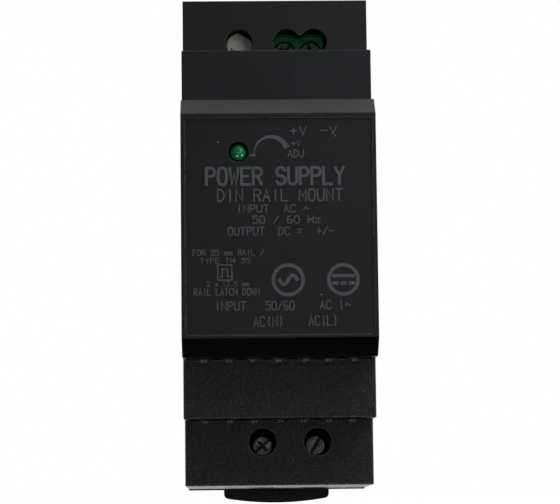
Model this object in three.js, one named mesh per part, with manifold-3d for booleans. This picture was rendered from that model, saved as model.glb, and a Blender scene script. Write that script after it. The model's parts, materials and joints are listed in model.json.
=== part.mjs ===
// DIN-rail power supply, two modules wide, as an assembly of separate pieces.
// Millimetres. +X is to the right as the unit is seen from the front, +Z is up, and the front faces -Y.
// The origin is the middle of the seat that rests on the front of a 35 mm top-hat rail.
import * as THREE from "three";
import { mergeVertices } from "three/addons/utils/BufferGeometryUtils.js";
import Module from "manifold-3d";

const wasm = await Module();
wasm.setup();

// ---- driving dimensions ------------------------------------------------------------------------------------------

const WIDTH = 35; // two 17.5 mm modules
const HALF_WIDTH = WIDTH / 2;
const WALL = 1.8;
const EDGE_ROUND = 0.5; // rounding of the moulded outer edges
const INNER_HALF_WIDTH = HALF_WIDTH - WALL;

// Depth levels, measured along Y from the rail seat at Y = 0.
const NOSE_Y = -53.8; // front of the nose
const MID_Y = NOSE_Y + 11; // shoulder behind the nose
const TERMINAL_Y = NOSE_Y + 21.3; // shoulder over the terminals
const PARTING_Y = -4; // where the front shell meets the rear base
const REAR_Y = 4.6; // back of the feet, behind the rail lips

// Heights above and below the middle of the rail.
const NOSE_HALF = 23.3;
const NOSE_CHAMFER = { height: 3.15, depth: 3.7 };
const MID_HALF = 33.95;
const END = { top: 45.75, bottom: 46 }; // from the centre to each end wall, at the terminal shoulder
const END_DRAFT = 0.45; // the end walls lean out by this much towards the base
const BASE = { top: 46.35, bottom: 46.7 };

// Terminals: a 5.08 mm grid, with a blank middle pole on the mains side.
const PITCH = 5.08;
const GRID_X = 2.1; // the grid's middle column
const SCREW_Z = 38.45;
const ACCESS_HOLE_R = 2.55;
const OUTPUT_ACCESS_Z = 37.7;
const INPUT_ACCESS_Z = -38;
const OUTPUT_POLES = [
  { name: "positive", x: GRID_X },
  { name: "negative", x: GRID_X + PITCH },
];
const INPUT_POLES = [
  { name: "neutral", x: GRID_X - PITCH },
  { name: "line", x: GRID_X + PITCH },
];

// Main board, parallel to the rail. Its parts stand on the side that faces the front.
const BOARD = { top: -6.8, thick: 1.6, halfWidth: 15.2, halfHeight: 42.8 };
const SEAT_GAP = 0.3; // clearance kept between pieces that rest on each other

const TRIMMER = { x: -6.8, z: 37.7, r: 2.45, flat: 1.95, faceY: -29.9, turn: -30 };
const LED = { x: -7.18, z: 13.2, r: 1.5, tipY: NOSE_Y + 0.25 };

// Rail interface for a 35 mm top-hat rail with 1 mm lips.
const RAIL = { halfChannel: 17.75, lipGap: 1.35, hookOverlap: 2.55 };
const LATCH = { halfWidth: 10.45, front: 0.9, back: 3.4, bottom: -49.3, catchTop: -15.2, play: 0.3 };
const SPRING = { y: 1.35, outerR: 1.9, wireR: 0.28, bottom: -39.3, top: -27.1, turns: 8 };

// ---- colours -----------------------------------------------------------------------------------------------------

const material = (color, roughness, metalness = 0) =>
  new THREE.MeshStandardMaterial({ color, roughness, metalness });
const LOOK = {
  housing: material(0x18191b, 0.55),
  base: material(0x17181a, 0.6),
  latch: material(0x141516, 0.5),
  outputTerminal: material(0x0f6b34, 0.4),
  mainsTerminal: material(0x161718, 0.45),
  steel: material(0xb9bcc0, 0.35, 1),
  tinned: material(0xc9c6bd, 0.3, 1),
  spring: material(0xa9adb3, 0.3, 1),
  board: material(0x1f5a33, 0.5),
  lens: material(0x0a8a45, 0.1),
  nylon: material(0xd9d7c8, 0.5),
  trimmerBlue: material(0x2b56a8, 0.45),
  black: material(0x1c1c1e, 0.5),
  ferrite: material(0x35363a, 0.7),
  copper: material(0xb4632b, 0.35, 1),
  aluminium: material(0xb6b9bd, 0.4, 1),
  sleeve: material(0x1e2a3c, 0.35),
  filmBox: material(0xd8b23a, 0.45),
  blueDisc: material(0x2f67b5, 0.5),
  greenDisc: material(0x2a4a35, 0.5),
  tape: material(0xe2c14a, 0.4),
  fuse: material(0x6a3a24, 0.4),
  sheet: material(0xe9e6da, 0.5),
};

// ---- solids ------------------------------------------------------------------------------------------------------

const SEGMENTS = 28;
const CUT_MARGIN = 1; // how far a cutter reaches past the face it opens

function toSolid(geometry) {
  const bare = geometry.index ? geometry.toNonIndexed() : geometry.clone();
  bare.deleteAttribute("normal");
  bare.deleteAttribute("uv");
  const merged = mergeVertices(bare, 1e-4);
  return new wasm.Manifold(
    new wasm.Mesh({
      numProp: 3,
      vertProperties: merged.attributes.position.array,
      triVerts: new Uint32Array(merged.index.array),
    }),
  );
}

function toGeometry(solid) {
  const { vertProperties, triVerts } = solid.getMesh();
  const indexed = new THREE.BufferGeometry()
    .setAttribute("position", new THREE.BufferAttribute(vertProperties, 3))
    .setIndex(new THREE.BufferAttribute(triVerts, 1));
  const geometry = indexed.toNonIndexed();
  geometry.computeVertexNormals();
  return geometry;
}

const join = (first, ...rest) =>
  toGeometry(rest.reduce((solid, part) => solid.add(toSolid(part)), toSolid(first)));
const cut = (body, ...tools) =>
  toGeometry(tools.reduce((solid, tool) => solid.subtract(toSolid(tool)), toSolid(body)));

// A box between two coordinates on each axis.
function block([x0, x1], [y0, y1], [z0, z1]) {
  return new THREE.BoxGeometry(x1 - x0, y1 - y0, z1 - z0).translate(
    (x0 + x1) / 2,
    (y0 + y1) / 2,
    (z0 + z1) / 2,
  );
}

// The span between two distances from the middle, on the side (1 or -1) that is asked for.
const sideSpan = (side, inner, outer) => (side > 0 ? [inner, outer] : [-outer, -inner]);

// A round rod along one axis ("x", "y" or "z") between two coordinates on it.
function rod(axis, r, from, to, at = [0, 0], segments = SEGMENTS) {
  const geometry = new THREE.CylinderGeometry(r, r, to - from, segments).translate(0, (from + to) / 2, 0);
  if (axis === "x") return geometry.rotateZ(-Math.PI / 2).translate(0, at[0], at[1]);
  if (axis === "z") return geometry.rotateX(Math.PI / 2).translate(at[0], at[1], 0);
  return geometry.translate(at[0], 0, at[1]);
}

function polygon(points) {
  return new THREE.Shape(points.map(([a, b]) => new THREE.Vector2(a, b)));
}

function roundedRectangle([a0, a1], [b0, b1], r) {
  const shape = new THREE.Shape();
  shape.moveTo(a0 + r, b0);
  shape.lineTo(a1 - r, b0).absarc(a1 - r, b0 + r, r, -Math.PI / 2, 0);
  shape.lineTo(a1, b1 - r).absarc(a1 - r, b1 - r, r, 0, Math.PI / 2);
  shape.lineTo(a0 + r, b1).absarc(a0 + r, b1 - r, r, Math.PI / 2, Math.PI);
  shape.lineTo(a0, b0 + r).absarc(a0 + r, b0 + r, r, Math.PI, 1.5 * Math.PI);
  return shape;
}

// Extrudes an outline drawn in (Y, Z) along X, with its two long edges rounded.
const YZ_TO_X = new THREE.Matrix4().makeBasis(
  new THREE.Vector3(0, 1, 0),
  new THREE.Vector3(0, 0, 1),
  new THREE.Vector3(1, 0, 0),
);
function slabAlongX(shape, [x0, x1], round = 0) {
  const bevel = round
    ? { bevelEnabled: true, bevelThickness: round, bevelSize: round, bevelOffset: -round, bevelSegments: 2 }
    : { bevelEnabled: false };
  return new THREE.ExtrudeGeometry(shape, { depth: x1 - x0 - 2 * round, curveSegments: 6, ...bevel })
    .translate(0, 0, x0 + round)
    .applyMatrix4(YZ_TO_X);
}

// Extrudes an outline drawn in (X, Z) from Y = back towards the front by depth.
function slabAlongY(shape, back, depth) {
  return new THREE.ExtrudeGeometry(shape, { depth, bevelEnabled: false, curveSegments: 6 })
    .rotateX(Math.PI / 2)
    .translate(0, back, 0);
}

// Extrudes an outline drawn in (X, Y) between two heights.
function slabAlongZ(shape, from, to) {
  return new THREE.ExtrudeGeometry(shape, { depth: to - from, bevelEnabled: false, curveSegments: 6 })
    .translate(0, 0, from);
}

// A turned solid about Z from (radius, height) points that start and end on the axis.
function turned(points, segments = SEGMENTS) {
  return new THREE.LatheGeometry(
    points.map(([r, z]) => new THREE.Vector2(r, z)),
    segments,
  ).rotateX(Math.PI / 2);
}

// ---- assembly ----------------------------------------------------------------------------------------------------

const unit = new THREE.Group();

function place(parent, name, geometry, look, [x, y, z] = [0, 0, 0]) {
  const mesh = new THREE.Mesh(geometry, look);
  mesh.name = name;
  mesh.position.set(x, y, z);
  parent.add(mesh);
  return mesh;
}

// Parts on the main board are drawn lying flat: x across, y up the board, z away from it. This group stands them up.
const onBoard = new THREE.Group();
onBoard.rotation.x = Math.PI / 2;
onBoard.position.y = BOARD.top;
unit.add(onBoard);
const heightAt = (y) => BOARD.top - y; // height above the board of a level along Y

// ---- front shell -------------------------------------------------------------------------------------------------

const VENTS = { count: 7, pitch: 4.55, width: 3, margin: 1.2, frame: 0.6, seam: 0.1 };
// The vented walls: the top and bottom of the nose, and of the step behind it.
const NOSE_VENT = { half: NOSE_HALF, front: NOSE_Y + NOSE_CHAMFER.depth, back: MID_Y };
const STEP_VENT = { half: MID_HALF, front: MID_Y + WALL, back: TERMINAL_Y };
const WIRE_WINDOW = { width: 4.5, front: -13.4, back: -8 };
const COLLAR = { reach: 42.5, wall: 1.2 }; // the boss round each pair of wire windows, from the end wall inwards
const SNAP = { z: 24, width: 5, front: -9.5, back: -7.7, play: 0.3, armInner: 14.3, armOuter: 15.4 };
const RECESS = { halfWidth: 16.75, top: 19.25, bottom: -19.65, depth: 0.3, round: 1.2 };

// The stepped side outline, from the upper edge of the parting plane round to the lower one.
function steppedOutline(inset) {
  const mid = MID_HALF - inset;
  const nose = NOSE_HALF - inset;
  const flat = NOSE_HALF - NOSE_CHAMFER.height - inset * 0.4;
  const half = (end) => [
    [PARTING_Y + (inset ? CUT_MARGIN : 0), end - inset + END_DRAFT],
    [TERMINAL_Y + inset, end - inset],
    [TERMINAL_Y + inset, mid],
    [MID_Y + inset, mid],
    [MID_Y + inset, nose],
    [NOSE_Y + NOSE_CHAMFER.depth + inset * 0.4, nose],
    [NOSE_Y + inset, flat],
  ];
  const lower = half(END.bottom).map(([y, z]) => [y, -z]);
  return polygon([...lower, ...half(END.top).reverse()]);
}

// The window in a vented wall, shrunk by gap on every side. It runs the whole way between the side walls.
function ventPlate({ half, front, back }, side, gap, reach) {
  const wide = INNER_HALF_WIDTH - gap;
  const edge = VENTS.margin - VENTS.frame + gap;
  return block([-wide, wide], [front + edge, back - edge], sideSpan(side, half - WALL - reach, half + reach));
}

function ventWindows() {
  return [NOSE_VENT, STEP_VENT].flatMap((wall) => [-1, 1].map((side) => ventPlate(wall, side, 0, CUT_MARGIN)));
}

function ventGrille(wall, side) {
  const first = (-(VENTS.count - 1) / 2) * VENTS.pitch;
  const slots = Array.from({ length: VENTS.count }, (_, i) => {
    const x = first + i * VENTS.pitch;
    return block(
      [x - VENTS.width / 2, x + VENTS.width / 2],
      [wall.front + VENTS.margin, wall.back - VENTS.margin],
      sideSpan(side, wall.half - WALL - CUT_MARGIN, wall.half + CUT_MARGIN),
    );
  });
  return cut(ventPlate(wall, side, VENTS.seam, 0), ...slots);
}

function accessHoles() {
  const span = [TERMINAL_Y - CUT_MARGIN, TERMINAL_Y + WALL + CUT_MARGIN];
  const hole = (x, z) => rod("y", ACCESS_HOLE_R, ...span, [x, z]);
  const outputX = OUTPUT_POLES.map((pole) => pole.x + 0.15);
  return [
    hole(TRIMMER.x, OUTPUT_ACCESS_Z),
    ...outputX.map((x) => hole(x, OUTPUT_ACCESS_Z)),
    block(outputX, span, [OUTPUT_ACCESS_Z - 1.5, OUTPUT_ACCESS_Z + 1.5]),
    ...INPUT_POLES.map((pole) => hole(pole.x, INPUT_ACCESS_Z)),
  ];
}

function wireWindows() {
  const across = (x) => [x - WIRE_WINDOW.width / 2, x + WIRE_WINDOW.width / 2];
  const deep = [WIRE_WINDOW.front, WIRE_WINDOW.back];
  const top = [COLLAR.reach - CUT_MARGIN, BASE.top + CUT_MARGIN];
  const bottom = [-BASE.bottom - CUT_MARGIN, -COLLAR.reach + CUT_MARGIN];
  return [
    ...OUTPUT_POLES.map((pole) => block(across(pole.x), deep, top)),
    ...INPUT_POLES.map((pole) => block(across(pole.x), deep, bottom)),
  ];
}

// The boss that leads the wires from the windows of one end to its terminal block.
function wireCollar(poles, side, end) {
  const spread = WIRE_WINDOW.width / 2 + COLLAR.wall;
  return block(
    [poles[0].x - spread, poles.at(-1).x + spread],
    [WIRE_WINDOW.front - COLLAR.wall, WIRE_WINDOW.back + COLLAR.wall],
    sideSpan(side, COLLAR.reach, end - WALL + CUT_MARGIN),
  );
}

const atEachSnap = (make) => [-1, 1].flatMap((side) => [-SNAP.z, SNAP.z].map((z) => make(side, z)));

function snapWindows() {
  return atEachSnap((side, z) =>
    block(
      sideSpan(side, INNER_HALF_WIDTH - CUT_MARGIN, HALF_WIDTH + CUT_MARGIN),
      [SNAP.front - SNAP.play, SNAP.back + SNAP.play],
      [z - SNAP.width / 2 - SNAP.play, z + SNAP.width / 2 + SNAP.play],
    ),
  );
}

function frontShell() {
  const outer = slabAlongX(steppedOutline(0), [-HALF_WIDTH, HALF_WIDTH], EDGE_ROUND);
  const hollow = slabAlongX(steppedOutline(WALL), [-INNER_HALF_WIDTH, INNER_HALF_WIDTH]);
  const recess = slabAlongY(
    roundedRectangle([-RECESS.halfWidth, RECESS.halfWidth], [RECESS.bottom, RECESS.top], RECESS.round),
    NOSE_Y + RECESS.depth,
    RECESS.depth + CUT_MARGIN,
  );
  return cut(
    join(
      cut(outer, hollow),
      wireCollar(OUTPUT_POLES, 1, END.top),
      wireCollar(INPUT_POLES, -1, END.bottom),
    ),
    recess,
    rod("y", LED.r + 0.3, NOSE_Y - CUT_MARGIN, NOSE_Y + WALL + CUT_MARGIN, [LED.x, LED.z]),
    ...accessHoles(),
    ...wireWindows(),
    ...snapWindows(),
    ...ventWindows(),
  );
}

place(unit, "front_shell", frontShell(), LOOK.housing);
for (const [label, side] of [["top", 1], ["bottom", -1]]) {
  place(unit, `nose_vent_${label}`, ventGrille(NOSE_VENT, side), LOOK.housing);
  place(unit, `step_vent_${label}`, ventGrille(STEP_VENT, side), LOOK.housing);
}

// ---- rear base ---------------------------------------------------------------------------------------------------

const FLOOR = 2; // thickness of the wall behind the rail seat
const GUIDE = { lip: 1.2, front: 0.6, lipFront: 3.65 };
const PEG = { halfWidth: 1.8, bottom: -41.9, top: -39.6, back: 3.2 };
const POST = { x: 14.1, z: 40.4, size: 2 };

function baseOutline() {
  const hookZ = RAIL.halfChannel - RAIL.hookOverlap;
  return polygon([
    [PARTING_Y + 0.15, BASE.top],
    [PARTING_Y + 0.15, -BASE.bottom],
    [REAR_Y, -BASE.bottom],
    [REAR_Y, -RAIL.halfChannel],
    [0, -RAIL.halfChannel],
    [0, RAIL.halfChannel],
    [RAIL.lipGap, RAIL.halfChannel],
    [RAIL.lipGap, hookZ],
    [RAIL.lipGap + 1.6, hookZ],
    [REAR_Y, hookZ + 1.8],
    [REAR_Y, BASE.top],
  ]);
}

function latchGuide() {
  const width = LATCH.halfWidth + 0.25;
  const open = LATCH.halfWidth - GUIDE.lip;
  const down = [-BASE.bottom - CUT_MARGIN, -RAIL.halfChannel + CUT_MARGIN];
  return [
    block([-width, width], [GUIDE.front, GUIDE.lipFront], down),
    block([-open, open], [GUIDE.front, REAR_Y + CUT_MARGIN], down),
    block([-SPRING.outerR - 0.3, SPRING.outerR + 0.3], [-0.85, GUIDE.front + CUT_MARGIN], [PEG.top, -26.4]),
  ];
}

function snapArm(side, z) {
  const width = [z - SNAP.width / 2, z + SNAP.width / 2];
  return join(
    block(sideSpan(side, SNAP.armInner, SNAP.armOuter), [SNAP.front - 1, -FLOOR + 0.5], width),
    block(sideSpan(side, SNAP.armOuter - 0.3, HALF_WIDTH - 0.6), [SNAP.front, SNAP.back], width),
  );
}

function boardPost(x, z) {
  return block(
    [x - POST.size / 2, x + POST.size / 2],
    [BOARD.top + BOARD.thick + SEAT_GAP, -FLOOR + 0.5],
    [z - POST.size / 2, z + POST.size / 2],
  );
}

function rearBase() {
  const tray = cut(
    slabAlongX(baseOutline(), [-HALF_WIDTH, HALF_WIDTH], EDGE_ROUND),
    block([-INNER_HALF_WIDTH, INNER_HALF_WIDTH], [PARTING_Y - CUT_MARGIN, -FLOOR], [-44.2, 44.2]),
    block([-INNER_HALF_WIDTH, INNER_HALF_WIDTH], [-FLOOR - CUT_MARGIN, REAR_Y - FLOOR], [RAIL.halfChannel + 2, 44.2]),
    ...latchGuide(),
  );
  const posts = [-1, 1].flatMap((sx) => [-1, 1].map((sz) => boardPost(sx * POST.x, sz * POST.z)));
  // The two upper posts stand in the deeper pocket, so they reach down to its floor.
  const footPosts = [-1, 1].map((side) =>
    block(
      [side * POST.x - POST.size / 2, side * POST.x + POST.size / 2],
      [-FLOOR, REAR_Y - FLOOR + 0.5],
      [POST.z - POST.size / 2, POST.z + POST.size / 2],
    ),
  );
  const armRoots = [-1, 1].map((side) =>
    block(
      sideSpan(side, SNAP.armInner, SNAP.armOuter),
      [-FLOOR, REAR_Y - FLOOR + 0.5],
      [SNAP.z - SNAP.width / 2, SNAP.z + SNAP.width / 2],
    ),
  );
  const peg = block([-PEG.halfWidth, PEG.halfWidth], [0, PEG.back], [PEG.bottom, PEG.top]);
  return join(tray, ...posts, ...footPosts, ...armRoots, ...atEachSnap(snapArm), peg);
}

place(unit, "rear_base", rearBase(), LOOK.base);

// ---- rail latch and its spring -----------------------------------------------------------------------------------

// The latch seen from behind, in (X, Z): straight sides, and a bottom edge that bows downwards.
function latchOutline() {
  const { halfWidth: w, bottom } = LATCH;
  const corner = 1.3;
  const shape = new THREE.Shape();
  shape.moveTo(w, LATCH.catchTop);
  shape.lineTo(-w, LATCH.catchTop);
  shape.lineTo(-w, bottom + 2.2);
  shape.quadraticCurveTo(-w, bottom + 1.1, -w + corner, bottom + 0.9);
  shape.quadraticCurveTo(0, bottom - 0.9, w - corner, bottom + 0.9);
  shape.quadraticCurveTo(w, bottom + 1.1, w, bottom + 2.2);
  return shape;
}

function railLatch() {
  const { front, back, play } = LATCH;
  const plate = slabAlongY(latchOutline(), back, back - front);
  const window = block(
    [-PEG.halfWidth - play, PEG.halfWidth + play],
    [front - CUT_MARGIN, back + CUT_MARGIN],
    [PEG.bottom - play, SPRING.top + 0.3],
  );
  // Room for the rail's lip in front of the catch, and the slope that the rail slides along as the unit snaps on.
  const lipRoom = block(
    [-LATCH.halfWidth - CUT_MARGIN, LATCH.halfWidth + CUT_MARGIN],
    [front - CUT_MARGIN, RAIL.lipGap],
    [-RAIL.halfChannel, LATCH.catchTop + CUT_MARGIN],
  );
  const slope = slabAlongX(
    polygon([
      [RAIL.lipGap + 0.6, LATCH.catchTop + 0.1],
      [back + 0.5, LATCH.catchTop - 2.1],
      [back + 0.5, LATCH.catchTop + 0.1],
    ]),
    [-LATCH.halfWidth - CUT_MARGIN, LATCH.halfWidth + CUT_MARGIN],
  );
  const driverSlot = block([-2.6, 2.6], [back - 1.2, back + CUT_MARGIN], [-45.4, -44]);
  return cut(plate, window, lipRoom, slope, driverSlot);
}

place(unit, "rail_latch", railLatch(), LOOK.latch);

function springCoil() {
  const { outerR, wireR, bottom, top, turns } = SPRING;
  const r = outerR - wireR;
  const low = bottom + wireR;
  const high = top - wireR;
  const stepsPerTurn = 12;
  const points = Array.from({ length: turns * stepsPerTurn + 1 }, (_, i) => {
    const t = i / (turns * stepsPerTurn);
    const angle = t * turns * 2 * Math.PI;
    return new THREE.Vector3(r * Math.cos(angle), r * Math.sin(angle), low + (high - low) * t);
  });
  const section = polygon(
    Array.from({ length: 6 }, (_, i) => [
      wireR * Math.cos((i * Math.PI) / 3),
      wireR * Math.sin((i * Math.PI) / 3),
    ]),
  );
  return new THREE.ExtrudeGeometry(section, {
    steps: turns * stepsPerTurn,
    extrudePath: new THREE.CatmullRomCurve3(points),
  });
}

place(unit, "latch_spring", springCoil(), LOOK.spring, [0, SPRING.y, 0]);

// ---- boards ------------------------------------------------------------------------------------------------------

const LEG = { x: 0.5, inner: 2.5, outer: 3.2, holeR: 0.9 };

function mainBoard() {
  const { halfWidth, halfHeight, thick } = BOARD;
  const through = [-thick - CUT_MARGIN, CUT_MARGIN];
  const notches = atEachSnap((side, z) =>
    block(sideSpan(side, SNAP.armInner - 0.4, halfWidth + CUT_MARGIN), [z - 3, z + 3], through),
  );
  const legY = SCREW_Z - (LEG.inner + LEG.outer) / 2;
  const pinHoles = [
    ...OUTPUT_POLES.map((pole) => rod("z", LEG.holeR, ...through, [pole.x, legY], 12)),
    ...INPUT_POLES.map((pole) => rod("z", LEG.holeR, ...through, [pole.x, -legY], 12)),
  ];
  return cut(block([-halfWidth, halfWidth], [-halfHeight, halfHeight], [-thick, 0]), ...notches, ...pinHoles);
}

place(onBoard, "main_board", mainBoard(), LOOK.board);

const CONTROL = { x: [-9.9, -8.9], y: [8, 19], top: 39.4 };
place(onBoard, "control_board", block(CONTROL.x, CONTROL.y, [SEAT_GAP, CONTROL.top]), LOOK.board);

function controllerChip() {
  const body = block([-1.5, 0], [-2.5, 2.5], [-2, 2]);
  const legs = [-1.9, -0.63, 0.63, 1.9].flatMap((y) =>
    [-1, 1].map((side) => block([-0.5, -0.1], [y - 0.2, y + 0.2], side > 0 ? [1.5, 3] : [-3, -1.5])),
  );
  return join(body, ...legs);
}
place(onBoard, "controller_chip", controllerChip(), LOOK.black, [CONTROL.x[0] - 0.1, 13.5, 22]);

const insulation = block([-12.4, 12.4], [-2.8, -2.35], [-38.6, 38.6]);
place(unit, "insulation_sheet", insulation, LOOK.sheet);

// ---- terminal blocks ---------------------------------------------------------------------------------------------

// Heights above the board. Each pole holds a rising cage: turning the screw lifts the cage and clamps the wire
// against the underside of the contact bar.
const BLOCK = { height: 14, outerSide: 3.75, innerSide: 5.55, stepHeight: 12, step: 1.2 };
const CAVITY = { half: 2.15, floor: 1.2, roof: 10.8, seat: 11.3 };
const HEAD = { r: 1.8, bottom: 11.4, top: 13, boreR: 2 };
const SHANK = { r: 1.25, boreR: 1.4, tip: 6.3 };
const BAR = { bottom: 5.4, top: 6.2, half: 1.2 };
const CAGE = { halfX: 2, halfY: 1.9, bottom: 1.6, innerBottom: 2.4, innerTop: 6.8, top: 8, wall: 0.6, holeR: 1.45 };

// Drawn with the pole at the origin and the wire side towards -y.
function poleCavity(x) {
  return [
    block([x - CAVITY.half, x + CAVITY.half], [-CAVITY.half, CAVITY.half], [CAVITY.floor, CAVITY.roof]),
    rod("z", SHANK.boreR, CAVITY.roof - 0.5, CAVITY.seat + 0.1, [x, 0]),
    rod("z", HEAD.boreR, CAVITY.seat, BLOCK.height + CUT_MARGIN, [x, 0]),
    block([x - 1.75, x + 1.75], [-BLOCK.outerSide - CUT_MARGIN, 0], [2, 5.8]),
    block([x - 1.5, x + 1.5], [0, LEG.outer + 0.3], [-CUT_MARGIN, BAR.top + 0.3]),
  ];
}

function terminalBody(poles, left, right) {
  const { outerSide, innerSide, height, stepHeight, step } = BLOCK;
  const housing = block([left, right], [-outerSide, innerSide], [SEAT_GAP, height]);
  const notch = block(
    [left - CUT_MARGIN, right + CUT_MARGIN],
    [-outerSide - CUT_MARGIN, -outerSide + step],
    [stepHeight, height + CUT_MARGIN],
  );
  return cut(housing, notch, ...poles.flatMap((pole) => poleCavity(pole.x)));
}

function clampScrew() {
  const slot = [-0.4, 0.4];
  const depth = [HEAD.top - 0.9, HEAD.top + CUT_MARGIN];
  return cut(
    join(rod("z", HEAD.r, HEAD.bottom, HEAD.top), rod("z", SHANK.r, SHANK.tip, HEAD.bottom + 0.2)),
    block(slot, [-HEAD.r - CUT_MARGIN, HEAD.r + CUT_MARGIN], depth),
    block([-1.05, 1.05], slot, depth),
  );
}

function clampCage() {
  return cut(
    block([-CAGE.halfX, CAGE.halfX], [-CAGE.halfY, CAGE.halfY], [CAGE.bottom, CAGE.top]),
    block(
      [-CAGE.halfX + CAGE.wall, CAGE.halfX - CAGE.wall],
      [-CAGE.halfY - CUT_MARGIN, CAGE.halfY + CUT_MARGIN],
      [CAGE.innerBottom, CAGE.innerTop],
    ),
    rod("z", CAGE.holeR, CAGE.innerTop - 0.5, CAGE.top + CUT_MARGIN),
  );
}

function contactBar() {
  return join(
    block([-BAR.half, BAR.half], [-1.8, LEG.outer], [BAR.bottom, BAR.top]),
    block([-BAR.half, BAR.half], [LEG.inner, LEG.outer], [1, BAR.top]),
    block([-LEG.x, LEG.x], [LEG.inner, LEG.outer], [-BOARD.thick - 1.5, 1.5]),
  );
}

// side is 1 for the output end at the top and -1 for the mains end at the bottom.
function terminalGroup(side, label, poles, left, right, look) {
  const group = new THREE.Group();
  group.position.y = side * SCREW_Z;
  if (side > 0) group.rotation.z = Math.PI; // the wire side faces up
  onBoard.add(group);
  const mirror = ({ name, x }) => ({ name, x: side > 0 ? -x : x });
  const [from, to] = side > 0 ? [-right, -left] : [left, right];
  place(group, `${label}_terminal_body`, terminalBody(poles.map(mirror), from, to), look);
  for (const pole of poles.map(mirror)) {
    const screw = place(group, `${pole.name}_screw`, clampScrew(), LOOK.steel, [pole.x, 0, 0]);
    screw.rotation.z = pole.name === "line" ? -0.5 : 0.7; // as the last turn of the driver left it
    place(group, `${pole.name}_cage`, clampCage(), LOOK.tinned, [pole.x, 0, 0]);
    place(group, `${pole.name}_contact`, contactBar(), LOOK.tinned, [pole.x, 0, 0]);
  }
}

const POLE_EDGE = PITCH / 2;
const POLES_RIGHT = GRID_X + PITCH + POLE_EDGE;
terminalGroup(1, "output", OUTPUT_POLES, GRID_X - POLE_EDGE, POLES_RIGHT, LOOK.outputTerminal);
terminalGroup(-1, "input", INPUT_POLES, GRID_X - PITCH - POLE_EDGE, POLES_RIGHT, LOOK.mainsTerminal);

// ---- voltage trimmer and status light ----------------------------------------------------------------------------

function trimmerBody() {
  return cut(block([-3.4, 3.4], [-3.3, 3.3], [SEAT_GAP, 5]), rod("z", 2.1, 2, 5 + CUT_MARGIN));
}
place(onBoard, "trimmer_body", trimmerBody(), LOOK.trimmerBlue, [TRIMMER.x, TRIMMER.z, 0]);

// A D-shaped head on a plain shaft. The flat shows how far the knob is turned.
function trimmerKnob() {
  const face = heightAt(TRIMMER.faceY);
  const { r, flat } = TRIMMER;
  return cut(
    join(rod("z", r, face - 5, face), rod("z", 1.7, 2.4, face - 4.5)),
    block([-r - CUT_MARGIN, r + CUT_MARGIN], [flat, r + CUT_MARGIN], [face - 2.5, face + CUT_MARGIN]),
    block([-1.2, 1.2], [-1.7, -1.2], [face - 0.8, face + CUT_MARGIN]),
  );
}
const knob = place(onBoard, "trimmer_knob", trimmerKnob(), LOOK.nylon, [TRIMMER.x, TRIMMER.z, 0]);
knob.rotation.z = THREE.MathUtils.degToRad(TRIMMER.turn);

function ledLens() {
  const tip = heightAt(LED.tipY);
  const shoulder = tip - LED.r;
  const dome = Array.from({ length: 7 }, (_, i) => {
    const a = (i / 6) * (Math.PI / 2);
    return [LED.r * Math.cos(a), shoulder + LED.r * Math.sin(a)];
  });
  dome[6][0] = 0;
  return turned([[0, tip - 5.2], [1.9, tip - 5.2], [1.9, tip - 4.2], [LED.r, tip - 4.2], ...dome], 24);
}
place(onBoard, "status_led", ledLens(), LOOK.lens, [LED.x, LED.z, 0]);

// A lead that runs straight down from the lens, steps over to the control board and lies along its face.
function ledLead() {
  const under = heightAt(LED.tipY) - 5.4;
  const half = 0.22;
  const face = CONTROL.x[1] + 0.12 - LED.x;
  return join(
    block([-half, half], [-half, half], [34.5, under]),
    block([face, half], [-half, half], [34.5, 34.95]),
    block([face, face + 2 * half], [-half, half], [31.5, 34.9]),
  );
}
place(onBoard, "led_lead_anode", ledLead(), LOOK.tinned, [LED.x, LED.z + 1.27, 0]);
place(onBoard, "led_lead_cathode", ledLead(), LOOK.tinned, [LED.x, LED.z - 1.27, 0]);

// ---- mains side parts --------------------------------------------------------------------------------------------

const disc = (axis, r, thick) => rod(axis, r, -thick / 2, thick / 2, [0, 0], 24);

place(
  onBoard,
  "input_fuse",
  turned([[0, SEAT_GAP], [4.1, SEAT_GAP], [4.2, 0.8], [4.2, 7.2], [3.8, 7.7], [0, 7.7]], 24),
  LOOK.fuse,
  [-10.6, -37.8, 0],
);
place(onBoard, "surge_varistor", disc("x", 4.6, 3.8), LOOK.blueDisc, [12.7, -37.4, 6]);
place(onBoard, "inrush_thermistor", disc("y", 4, 3.4), LOOK.greenDisc, [-11, -28.4, 5.4]);
place(onBoard, "x_capacitor", block([-8.75, 8.75], [-3.2, 3.2], [SEAT_GAP, 12.5]), LOOK.filmBox, [4.2, -28.4, 0]);

const CHOKE = { x: -8, y: -20, z: 9.2, coreIn: 3.6, coreOut: 6.1, coreHalf: 2.2, wire: 1, gap: 0.25 };

// A ring, or a stretch of one, about the choke's own y axis.
function ringPiece(inner, outer, half, from, to) {
  const shape = new THREE.Shape();
  const whole = to - from >= 2 * Math.PI;
  if (whole) {
    shape.absarc(0, 0, outer, 0, 2 * Math.PI);
    shape.holes.push(new THREE.Path().absarc(0, 0, inner, 0, 2 * Math.PI, true));
  } else {
    shape.absarc(0, 0, outer, from, to);
    shape.absarc(0, 0, inner, to, from, true);
  }
  return new THREE.ExtrudeGeometry(shape, { depth: 2 * half, bevelEnabled: false, curveSegments: 24 })
    .translate(0, 0, -half)
    .rotateX(Math.PI / 2);
}

function chokeWinding(middle) {
  const { coreIn, coreOut, coreHalf, wire, gap } = CHOKE;
  const spread = THREE.MathUtils.degToRad(62);
  return cut(
    ringPiece(coreIn - gap - wire, coreOut + gap + wire, coreHalf + gap + wire, middle - spread, middle + spread),
    ringPiece(coreIn - gap, coreOut + gap, coreHalf + gap, 0, 2 * Math.PI),
  );
}

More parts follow.
